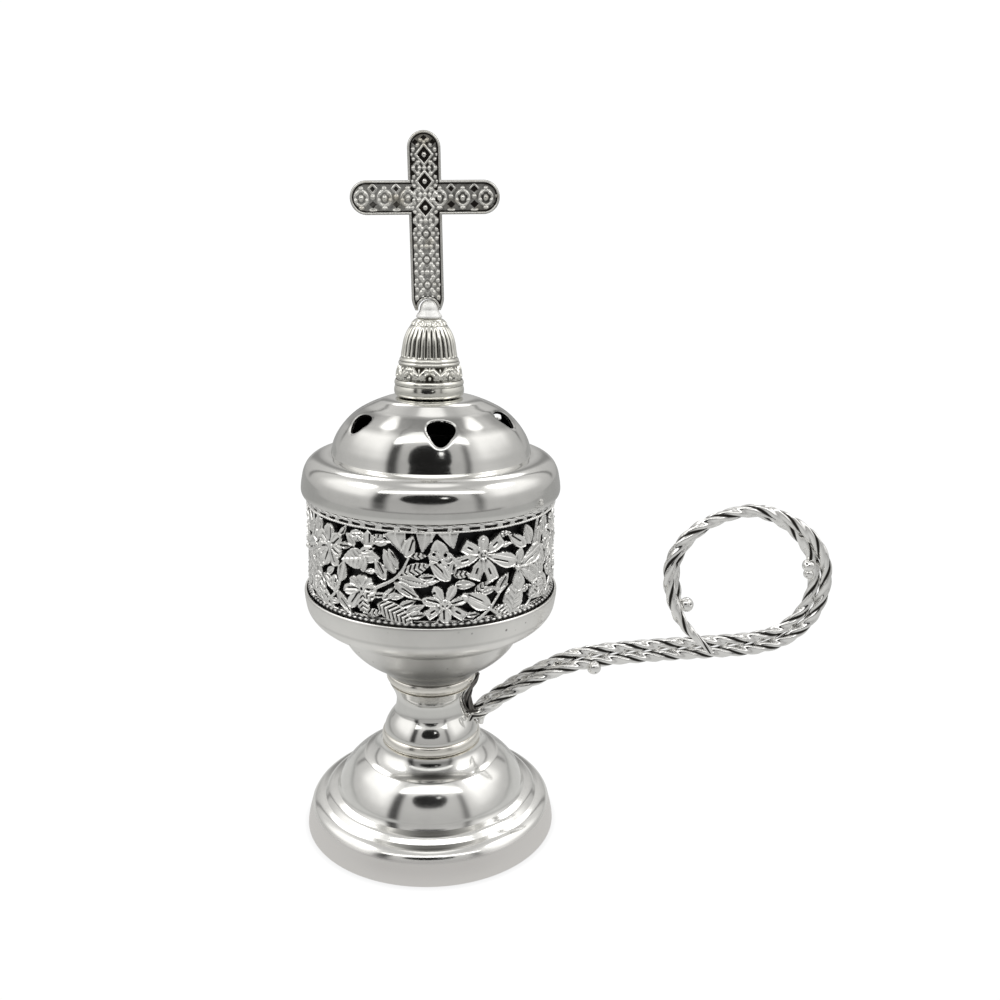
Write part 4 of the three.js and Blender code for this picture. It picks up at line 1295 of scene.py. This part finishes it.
def polygon_distance(x, y, polygon):
    """Signed distance to a closed polygon, negative inside."""
    distance = np.full(x.shape, 1e9)
    inside = np.zeros(x.shape, dtype=bool)
    for a, b in zip(polygon, np.roll(polygon, -1, 0)):
        ab = b - a
        t = np.clip(((x - a[0]) * ab[0] + (y - a[1]) * ab[1]) / (ab @ ab + 1e-12), 0, 1)
        distance = np.minimum(distance, np.hypot(x - a[0] - t * ab[0], y - a[1] - t * ab[1]))
        straddles = (a[1] > y) != (b[1] > y)
        crossing = a[0] + (y - a[1]) * ab[0] / (ab[1] if abs(ab[1]) > 1e-12 else 1e-12)
        inside ^= straddles & (x < crossing)
    return np.where(inside, -distance, distance)


def lid_profile(count):
    """Evenly spaced outer profile, with a point on the crease, and the inner profile."""
    outline = refine([
        (34.55, 100.45), (34.85, 100.35), (35.15, 100.7), (35.38, 101.5), (35.35, 102.6),
        (35.05, 104.6), (34.5, 106.9), (33.6, 108.6), (32.3, 109.85), (30.6, 110.6),
        (29.0, 110.85), (27.6, 110.9), (*LID_CREASE, "c"), (26.9, 112.3), (26.5, 114.0),
        (25.75, 115.7), (24.5, 117.7), (22.7, 119.9), (20.6, 121.8), (18.0, 123.4),
        (14.7, 124.9), (11.4, 126.0), (9.0, 126.3), (6.0, 126.3, "l"), (3.0, 126.3)], step=0.42)
    lengths = arc_lengths(outline)
    spaced = np.linspace(0, lengths[-1], count)
    crease = lengths[np.argmin(np.abs(outline - LID_CREASE).sum(1))]
    spaced[np.argmin(np.abs(spaced - crease))] = crease
    outer = np.stack([np.interp(spaced, lengths, outline[:, axis]) for axis in (0, 1)], 1)
    tangent = np.gradient(outer, axis=0)
    tangent /= np.linalg.norm(tangent, axis=1)[:, None]
    inward = np.stack([-tangent[:, 1], tangent[:, 0]], 1)
    inner = outer + inward * 0.75
    inner[:, 0] = np.maximum(inner[:, 0], 3.0)
    # the sheet thins towards the rim
    rim = spaced < 3.0
    inner[rim] = outer[rim] + inward[rim] * (0.55 + 0.2 * spaced[rim][:, None] / 3.0)
    inner[0] = (34.1, 100.6)
    return outer, inner


def lid():
    count_u, count_v = 560, 150
    turn = angles(count_u)[:, None]
    outer, inner = (around(profile[:, 0], turn, profile[:, 1])
                    for profile in lid_profile(count_v))
    field = np.full((count_u, count_v), 5.0)
    shape = hole_shape()
    slope = math.radians(47.0)
    for degrees, wide, high, shift, tilt in HOLES:
        azimuth = math.radians(degrees)
        outward = np.array([math.sin(azimuth) * math.cos(slope),
                            -math.cos(azimuth) * math.cos(slope), math.sin(slope)])
        side = np.array([math.cos(azimuth), math.sin(azimuth), 0.0])
        offset = outer - around(17.6, azimuth, 115.2)
        x, y = offset @ side, offset @ np.cross(outward, side)
        cosine, sine = math.cos(math.radians(tilt)), math.sin(math.radians(tilt))
        outline = np.stack([(shape[:, 0] * cosine - shape[:, 1] * sine) * wide,
                            (shape[:, 0] * sine + shape[:, 1] * cosine) * high + shift], 1)
        near = (offset @ outward > 0) & (np.hypot(x, y) < 9)
        field = np.where(near, np.minimum(field, polygon_distance(x, y, outline)), field)
    # the sheet dips slightly at the cut edge of each hole
    dip = 0.26 * bell(np.maximum(field, 0), 0.36)[..., None]
    radial = outer - np.array([0.0, 0.0, 104.0])
    radial /= np.linalg.norm(radial, axis=2)[..., None]
    cut_sheet("lid_dome", outer - radial * dip, inner - radial * dip * 0.9, field, True, mirror,
              "lid", np.zeros(field.shape), np.ones(field.shape), sharp=38,
              replaces="lid_shell", slot="mirror_plate")


lid()

# ------------------------------------------------------------------ finial
FINIAL_X = -0.7               # the finial stands slightly off the axis
FINIAL_BASE = (8.5, 126.55)
FINIAL = [
    (BORE, 126.55, "l"), (*FINIAL_BASE, "c"), (8.95, 126.75), (9.28, 127.3), (9.36, 128.1),
    (9.22, 129.0), (9.05, 129.55, "c"), (9.22, 129.75), (9.26, 130.15), (9.16, 130.6),
    (8.92, 130.95, "c"), (8.80, 131.4), (8.70, 132.2), (8.55, 133.2), (8.30, 134.3),
    (8.10, 135.0, "c"), (8.20, 135.25), (8.06, 135.65), (7.84, 135.85, "c"), (7.90, 136.1),
    (7.76, 136.5), (7.50, 136.8, "c"), (7.40, 137.4), (7.20, 138.6), (6.85, 140.7),
    (6.35, 142.4), (5.65, 143.9), (4.85, 145.15, "c"), (4.60, 145.5), (4.35, 146.0),
    (3.9, 146.55), (3.3, 146.85), (BORE, 146.85)]


def finial_motifs(angle, v):
    """Relief of the nine floral motifs; v is the height within their band."""
    count = 9
    pitch = 2 * np.pi * 8.9 / count
    u = ((angle * count / (2 * np.pi) + 0.47) % 1.0 - 0.5) * pitch
    relief = 0.62 * round_top(1 - ((u / 0.50) ** 2 + ((v - 0.85) / 0.55) ** 2))
    for side in (-1, 1):
        # scroll
        x = u - side * 0.15
        bearing = np.arctan2(v - 1.0, x * side)
        scroll = bell(np.hypot(x * 0.85, v - 1.0) - 1.15, 0.24)
        relief = np.maximum(relief, 0.58 * scroll * (bearing > -0.5) * (bearing < 1.35))
        # slanting leaf with a groove
        x, y = u - side * 2.05, v - 1.9
        across, along = x * 0.80 + y * 0.6 * side, -x * 0.6 * side + y * 0.80
        leaf = np.clip(1 - ((across / 0.66) ** 2 + (along / 1.55) ** 2), 0, 1)
        groove = 0.16 * bell(across, 0.10) * (leaf > 0)
        relief = np.maximum(relief, 0.62 * np.sqrt(leaf) - groove)
        # upper and lower bead
        for bead_u, bead_v, radius, high in ((1.05, 2.95, 0.66, 0.55), (2.35, 0.75, 0.55, 0.5)):
            rho = np.hypot(u - side * bead_u, v - bead_v)
            relief = np.maximum(relief, high * round_top(1 - (rho / radius) ** 2))
    tear = round_top(1 - ((u / 0.36) ** 2 + ((v - 2.75) / 0.95) ** 2))
    relief = np.maximum(relief, 0.66 * tear)
    divider = bell(np.abs(u) - pitch / 2, 0.17) * ease((v - 0.3) / 0.5) * ease((3.5 - v) / 0.6)
    return blur(np.maximum(relief, 0.45 * divider), 0.9, wrap=True)


def finial():
    count_u, count_v, base_count = 528, 170, 8
    profile = refine(FINIAL, step=0.15)
    lengths = arc_lengths(profile)
    base = lengths[np.argmin(np.abs(profile - FINIAL_BASE).sum(1))]
    spaced = np.concatenate([np.linspace(0, base, base_count, endpoint=False),
                             np.linspace(base, lengths[-1], count_v - base_count)])
    A, radius = np.meshgrid(angles(count_u), np.interp(spaced, lengths, profile[:, 0]),
                            indexing="ij")
    Z = np.tile(np.interp(spaced, lengths, profile[:, 1]), (count_u, 1))
    # flutes on the bell, dark between the ribs, with painted shade at the front
    gate = ease((Z - 136.95) / 0.5) * ease((145.0 - Z) / 1.3)
    rib = np.abs(np.cos((28 * A + 0.15) / 2)) ** 0.8
    height = gate * (0.48 * rib - 0.40) * (0.62 + 0.38 * radius / 7.6)
    dark_finish_and_shade = gate * 0.85 * bell(rib, 0.42) + gate * (0.08 + 0.26 * bell(np.sin(A / 2), 0.30))
    # floral band, darker at the front with painted shade
    band = ease((Z - 131.0) / 0.25) * ease((134.95 - Z) / 0.25)
    relief = finial_motifs(A, Z - 131.1)
    height += band * (relief - 0.34)
    front = bell(np.sin(A / 2), 0.34)
    dark_finish_and_shade += band * np.clip(0.42 + 0.42 * front - relief * 3.0, 0, 1.0)
    # beaded neck ring
    neck = bell(Z - 145.75, 0.42)
    bead = 0.5 + 0.5 * np.cos(22 * A)
    height += neck * (0.28 * bead - 0.06)
    dark_finish_and_shade += neck * 0.55 * (1 - bead) ** 2
    # dark lines in the creases
    for crease in (129.6, 131.0, 135.02, 135.88, 136.85, 145.15):
        dark_finish_and_shade += 0.75 * bell(Z - crease, 0.10)
    height += 0.015 * np.sin(3 * A + Z) + 0.01 * np.sin(7 * A - 2 * Z)
    points = around(radius + height * ease(radius - 2.6), A, Z, FINIAL_X)
    index = np.arange(count_u * count_v).reshape(count_u, count_v)
    after = np.roll(index, -1, axis=0)
    faces = [np.stack([index[:, :-1], after[:, :-1], after[:, 1:], index[:, 1:]],
                      2).reshape(-1, 4),
             strip(index[:, -1], index[:, 0])]
    build("finial_bell", points.reshape(-1, 3), faces, finial_silver, "lid",
          dark_finish_and_shade=dark_finish_and_shade.reshape(-1), replaces="finial")


def cross_seat():
    profile = refine([
        (0, 147.0, "l"), (3.1, 147.0, "c"), (3.4, 147.2), (3.4, 147.6), (3.15, 148.0),
        (2.75, 148.5), (2.5, 149.1), (2.42, 149.6), (2.25, 150.2), (1.85, 150.9), (1.3, 151.4),
        (0.7, 151.68), (0, 151.78)], step=0.12)
    lathe("cross_seat", profile, 120, seat_silver, "lid", x=FINIAL_X, replaces="cross_collar",
          sharp=45)


finial()
cross_seat()

# ------------------------------------------------------------------ cross
ARM_Z, TOP_Z, FOOT_Z = 177.4, 193.6, 149.0
HALF_BAR, HALF_SPAN = 8.4 / 2, 38.2 / 2
CROSS_LEAN = math.radians(1.6)

# Beads: offset sideways (placed on both sides), offset up, half width, half height, relief
DIAMOND_BEADS = [(0, 0, 0.66, 0.74, 0.58), (2.75, 1.15, 0.40, 0.42, 0.42),
                 (2.75, -1.15, 0.40, 0.42, 0.42), (3.25, 0, 0.32, 0.36, 0.36)]
LOW_DIAMOND_BEADS = [(1.15, 1.25, 0.44, 0.44, 0.46), (1.15, -1.25, 0.44, 0.44, 0.46),
                     (1.75, 0, 0.46, 0.40, 0.44)]
BETWEEN_BEADS = [(0, 0, 0.52, 0.52, 0.52), (1.55, 1.35, 0.50, 0.50, 0.50),
                 (1.55, -1.35, 0.50, 0.50, 0.50), (2.85, 0, 0.46, 0.52, 0.46),
                 (1.25, 0, 0.36, 0.36, 0.40)]
HEAD_BEADS = [(1.65, 2.3, 0.46, 0.46, 0.48), (2.75, 1.3, 0.42, 0.42, 0.45),
              (0.85, 3.5, 0.42, 0.42, 0.42), (0, 3.0, 0.42, 0.42, 0.45)]
ARM_BEADS = [(0, 0, 0.62, 0.74, 0.56), (0, -2.45, 0.66, 0.46, 0.54), (0, 2.35, 0.50, 0.42, 0.42),
             (1.42, -0.6, 0.46, 0.46, 0.47), (0.95, 1.15, 0.34, 0.34, 0.36)]
ARM_BETWEEN_BEADS = [(0, 0.35, 0.52, 0.52, 0.52), (0, -3.0, 0.95, 0.36, 0.52)]


def cross_outline(X, Z):
    """Two round-ended bars; the foot is waisted and has a small arch."""
    waist = 3.3 + (HALF_BAR - 3.3) * np.sin(np.clip((Z - FOOT_Z) / 3.2, 0, 1) * np.pi / 2)
    half = np.where(Z < FOOT_Z + 3.2, waist, HALF_BAR)
    upright = np.minimum(half - np.abs(X), Z - FOOT_Z)
    top = TOP_Z - HALF_BAR
    upright = np.where(Z > top, HALF_BAR - np.hypot(X, Z - top), upright)
    beyond = np.maximum(np.abs(X) - (HALF_SPAN - HALF_BAR), 0)
    field = np.maximum(upright, HALF_BAR - np.hypot(beyond, Z - ARM_Z))
    return np.minimum(field, np.hypot(X, Z - (FOOT_Z + 0.3)) - 2.6)


def cross_relief(X, Z):
    """Raised pattern, and the moat of dark hollows sunk between it."""
    raised = np.zeros(X.shape)
    moat = np.zeros(X.shape)

    def beads(cx, cz, table):
        for dx, dz, half_x, half_z, height in table:
            for side in (-1, 1):
                q = ((X - cx - side * dx) / half_x) ** 2 + ((Z - cz - dz) / half_z) ** 2
                np.maximum(raised, height * round_top(1 - q), out=raised)

    def diamond(cx, cz, half_x, half_z, width, height):
        x, z = np.abs(X - cx), np.abs(Z - cz)
        q = (x / half_x + z / half_z - 1) * min(half_x, half_z) * 0.75
        line = height * bell(q, width) * (x < half_x + 0.6) * (z < half_z + 0.6)
        np.maximum(raised, line, out=raised)

    def well(cx, cz, half_x, half_z, depth):
        q = np.abs(X - cx) / half_x + np.abs(Z - cz) / half_z
        np.maximum(moat, depth * ease((1.0 - q) / 0.22), out=moat)

    pitch, head = 6.45, 187.75
    for k in range(7):
        cz = head - k * pitch
        between = cz - pitch / 2
        if k < 3:
            depth = 1.0
            diamond(0, cz, 2.05, 2.45, width=0.17, height=0.36)
        else:
            depth = 0.10
            diamond(0, cz, 1.7, 2.0, width=0.15, height=0.14)
            beads(0, cz, LOW_DIAMOND_BEADS)
        well(0, cz, 1.85, 2.2, depth)
        beads(0, cz, DIAMOND_BEADS)
        beads(0, between, BETWEEN_BEADS)
        for side in (-1, 1):
            diamond(side * 1.9, between, 1.0, 1.35, width=0.13, height=0.20)
            well(side * 3.1, between + 1.5, 0.75, 0.85, 0.75 * depth)
            well(side * 3.1, between - 1.4, 0.75, 0.85, 0.55 * depth)
    beads(0, head, HEAD_BEADS)
    for side in (-1, 1):
        well(side * 2.2, head + 3.0, 0.8, 0.8, 0.9)
    well(0, head + 4.1, 0.8, 0.6, 0.9)

    arm_pitch, middle = 5.95, ARM_Z - 0.15
    for side in (-1, 1):
        for k in range(3):
            cx = side * (4.0 + k * arm_pitch) - 0.35
            ring = np.hypot(X - cx, (Z - middle) / 1.12) - 1.62
            np.maximum(raised, 0.30 * bell(ring, 0.17), out=raised)
            beads(cx, middle, ARM_BEADS)
            between = cx + side * arm_pitch / 2
            beads(between, middle, ARM_BETWEEN_BEADS)
            diamond(between, middle + 2.3, 1.0, 1.1, width=0.12, height=0.22)
            depth = 1.0 if side > 0 and k > 0 else 0.35
            well(between, middle - 1.55, 1.2, 1.0, depth)
            well(between, middle + 2.1, 1.2, 1.0, depth)
    return blur(raised, 0.7), moat


def cross_plate():
    step, margin = 0.135, 0.4
    x = np.arange(-HALF_SPAN - margin, HALF_SPAN + margin + 0.01, step)
    z = np.arange(FOOT_Z - margin, TOP_Z + margin + 0.01, step)
    X, Z = np.meshgrid(x, z, indexing="ij")
    field = cross_outline(X, Z)
    raised, moat = cross_relief(X, Z)
    rim = 0.30 * bell(field - 0.34, 0.26)
    ground = ease((field - 0.55) / 0.20)
    height = 0.22 + raised * ground - 0.12 * moat * (raised < 0.15) * ground
    height = height * ease(field / 0.30 + 0.15) + rim
    # worn softer towards the foot
    fade = 0.78 + 0.22 * ease((Z - 160.0) / 14.0)
    height = height * fade + 0.05 * (1 - fade)
    broad = blur(np.where(field > 0, height, 0.3), 4.0)
    # the ground is darker to the right and the top, and dark lines follow the rim
    darkening = (0.27 + 0.13 * ease((X + 2.0) / 10.0) + 0.14 * ease((Z - 178.0) / 6.0)
            - 0.03 * ease((166.0 - Z) / 10.0))
    dark_finish_and_shade = ((darkening + 0.85 * moat) * (1 - np.clip(raised * 3.0, 0, 1)) * ground
              + np.clip((broad - height) * 1.8, -0.2, 0.6))
    dark_finish_and_shade = dark_finish_and_shade + 0.9 * bell(field - 0.70, 0.17) * (0.45 + 0.55 * fade)
    # painted shade: a dark line along the outer edge, standing in for the dark the edge reflects
    dark_finish_and_shade = dark_finish_and_shade + 0.8 * ease(1 - field / 0.14) * (field < 0.14)
    sine, cosine = math.sin(CROSS_LEAN), math.cos(CROSS_LEAN)
    pivot_x = FINIAL_X - 0.25 - (ARM_Z - FOOT_Z) * sine
    pivot_z = FOOT_Z + (ARM_Z - FOOT_Z) * cosine
    above = Z - ARM_Z
    world_x = X * cosine - above * sine + pivot_x
    world_z = X * sine + above * cosine + pivot_z
    front = np.stack([world_x, -(0.34 + height), world_z], 2)
    back = np.stack([world_x, 0.34 + height, world_z], 2)
    cut_sheet("cross_plate", front, back, field, False, cross_silver, "lid", dark_finish_and_shade, dark_finish_and_shade,
              sharp=65, replaces="cross")


cross_plate()


# ------------------------------------------------------------------ studio
# elevation in degrees, brightness: table below, tent walls, brighter roof
TENT_LEVELS = ((-60, 0.80), (-20, 0.55), (-2, 0.52), (2, 0.56), (20, 0.66), (36, 0.76),
               (60, 0.66), (67, 0.56), (75, 0.60), (80, 1.12), (90, 1.25))
TENT_PEAK = 1.3               # brightness at the ramp's full level
CAMERA_WHITE = 1.03
# azimuth in degrees, strength: lamps at both sides and at the back
LAMPS = ((84.0, 2.2), (-84.0, 2.2), (150.0, 2.0), (-150.0, 2.0))
LAMP_ELEVATION, LAMP_HALF_WIDTH, LAMP_HALF_HEIGHT = 48.0, 15.0, 9.0


def tent():
    """White tent seen only in reflections; the camera sees plain white."""
    world = bpy.data.worlds.new("tent")
    scene.world = world
    graph = Graph(world)
    x, y, z = graph.split(graph.coordinates("Generated"))
    to_degrees = 57.29578
    azimuth = graph.math("ARCTAN2", x, y * -1.0) * to_degrees    # 0 at -Y, positive to +X
    elevation = graph.math("ARCSINE", z) * to_degrees
    either = abs(azimuth)

    def area(around_signal, sides, heights):
        """Patch of the tent; each range is low, high, softness in degrees."""
        return around_signal.window(*sides) * elevation.window(*heights)

    stops = [((degrees + 90.0) / 180.0, level / TENT_PEAK) for degrees, level in TENT_LEVELS]
    value = graph.levels(elevation.linear(-90.0, 90.0), stops) * TENT_PEAK
    # behind the object the tent is duller
    value = value * (1.0 - either.ease(118.0, 150.0) * (elevation.fade(22.0, 45.0) * 0.10))
    # lit side walls
    value = value + area(either, (58.0, 114.0, 10.0), (14.0, 50.0, 11.0)) * 0.50
    # tent corners, a little darker, and the wall between them
    left = area(azimuth, (-52.0, -39.0, 4.0), (1.0, 41.0, 5.0))
    right = area(azimuth, (38.5, 46.0, 4.0), (1.0, 39.0, 5.0))
    value = value * (1.0 - (left * 0.90 + right * 0.72))
    value = value * (1.0 - area(azimuth, (-43.0, 41.0, 5.0), (3.0, 38.0, 5.0)) * 0.22)
    # narrow folds at the front and bands at the rear
    value = value * (1.0 - area(either, (49.5, 51.5, 1.4), (38.0, 64.0, 2.0)) * 0.55)
    rear = either.window(134.0, 139.0, 2.5) + either.window(160.0, 170.0, 4.0) * 0.8
    value = value * (1.0 - rear * elevation.window(2.0, 48.0, 4.0) * 0.60)
    # seam where the tent meets the table
    hem = elevation.window(-2.6, 0.2, 0.9) * either.window(-1.0, 62.0, 4.0)
    value = value * (1.0 - hem * 0.55)
    for lamp_azimuth, strength in LAMPS:
        off = graph.math("WRAP", azimuth - lamp_azimuth, 180.0, -180.0)
        spread = ((off / LAMP_HALF_WIDTH) ** 2.0
                  + ((elevation - LAMP_ELEVATION) / LAMP_HALF_HEIGHT) ** 2.0)
        value = value + spread.fade(0.3, 1.7) * strength
    colour = graph.vector(value * 1.0, value * 0.992, value * 0.975)
    kind = "ShaderNodeBackground"
    seen = graph.light((1, 1, 1, 1), kind, strength=CAMERA_WHITE)
    graph.surface(graph.by_ray(graph.light(colour, kind), seen), "ShaderNodeOutputWorld")


def staged(name, points, faces, material, visible=True):
    """Studio object from points in metres, hidden from the camera unless visible."""
    mesh = bpy.data.meshes.new(name)
    mesh.from_pydata(points, [], faces)
    mesh.materials.append(material)
    obj = bpy.data.objects.new(name, mesh)
    scene.collection.objects.link(obj)
    obj.visible_camera = visible
    obj.visible_shadow = visible


def white_table():
    """Bright to the camera, with a faint contact shade; greyer in reflections."""
    material = bpy.data.materials.new("white_table")
    graph = Graph(material)
    x, y, _ = graph.split(graph.coordinates())
    radius = graph.distance(x, y)
    shade = radius.ease(0.0355, 0.0385, first=0.14, last=0.0)
    seen = (1.0 - shade) * CAMERA_WHITE
    near = radius.ease(0.050, 0.075, first=0.66, last=0.60)
    far = radius.ease(0.10, 0.40, first=0.0, last=-0.14)
    lit = (near + far) * y.ease(0.02, 0.22, first=1.0, last=0.85)
    graph.surface(graph.by_ray(graph.light(graph.vector(lit, lit, lit * 0.98)),
                               graph.light(graph.vector(seen, seen, seen))))
    return material


def table_top():
    """Round table just under the foot."""
    count, level = 96, -0.0004
    radii = [0.03, 0.045, 0.07, 0.12, 0.3, 0.8, 1.6]
    points = [(0.0, 0.0, level)]
    for radius in radii:
        points += [(radius * math.cos(a), radius * math.sin(a), level) for a in angles(count)]
    faces = [(0, 1 + k, 1 + (k + 1) % count) for k in range(count)]
    for j in range(len(radii) - 1):
        a, b = 1 + j * count, 1 + (j + 1) * count
        faces += [(a + k, b + k, b + (k + 1) % count, a + (k + 1) % count)
                  for k in range(count)]
    staged("table_top", points, faces, white_table())


def card(name, centre, half_x, half_z, value, power):
    """Rounded upright card in front of the object, seen only in reflections; mm.

    A higher power makes its corners squarer."""
    count = 64
    cx, cy, cz = centre
    points = [(cx * MM, cy * MM, cz * MM)]
    for a in angles(count):
        r = 1.0 / (abs(math.cos(a)) ** power + abs(math.sin(a)) ** power) ** (1 / power)
        points.append(((cx + half_x * r * math.cos(a)) * MM, cy * MM,
                       (cz + half_z * r * math.sin(a)) * MM))
    material = bpy.data.materials.new(name)
    graph = Graph(material)
    graph.surface(graph.light((value, value, value * 0.98, 1)))
    faces = [(0, 1 + k, 1 + (k + 1) % count) for k in range(count)]
    staged(name, points, faces, material, visible=False)


tent()
table_top()
card("lens_card", (-12.0, -285.0, 220.0), half_x=128.0, half_z=84.0, value=0.012, power=2.6)
card("lens_glint", (56.0, -284.0, 240.0), half_x=15.0, half_z=13.0, value=1.6, power=2.0)
card("lamp_bar", (0.0, -285.0, 417.0), half_x=340.0, half_z=74.0, value=2.1, power=7.0)


# ------------------------------------------------------------------ camera
def camera():
    """Looks down on the front, turned slightly to +X and rolled."""
    pitch, yaw, roll = (math.radians(a) for a in (15.11347, 4.03002, 1.10803))
    forward = Vector((math.sin(yaw) * math.cos(pitch), math.cos(yaw) * math.cos(pitch),
                      -math.sin(pitch)))
    level_right = Vector((math.cos(yaw), -math.sin(yaw), 0))
    level_up = level_right.cross(forward)
    right = math.cos(roll) * level_right + math.sin(roll) * level_up
    up = -math.sin(roll) * level_right + math.cos(roll) * level_up
    lens = bpy.data.cameras.new("camera")
    lens.sensor_fit = "HORIZONTAL"
    lens.sensor_width = 36.0
    lens.lens = 36.19188
    lens.clip_start = 0.005
    lens.clip_end = 20.0
    obj = bpy.data.objects.new("camera", lens)
    position = (0.0, -0.2690219, 0.1700973)
    matrix = Matrix.Identity(4)
    for i in range(3):
        matrix[i][0], matrix[i][1], matrix[i][2] = right[i], up[i], -forward[i]
        matrix[i][3] = position[i]
    obj.matrix_world = matrix
    scene.collection.objects.link(obj)
    scene.camera = obj


camera()
scene.view_settings.view_transform = "Standard"
scene.view_settings.look = "None"
scene.view_settings.exposure = 0.0
scene.view_settings.gamma = 1.0

bpy.context.view_layer.update()
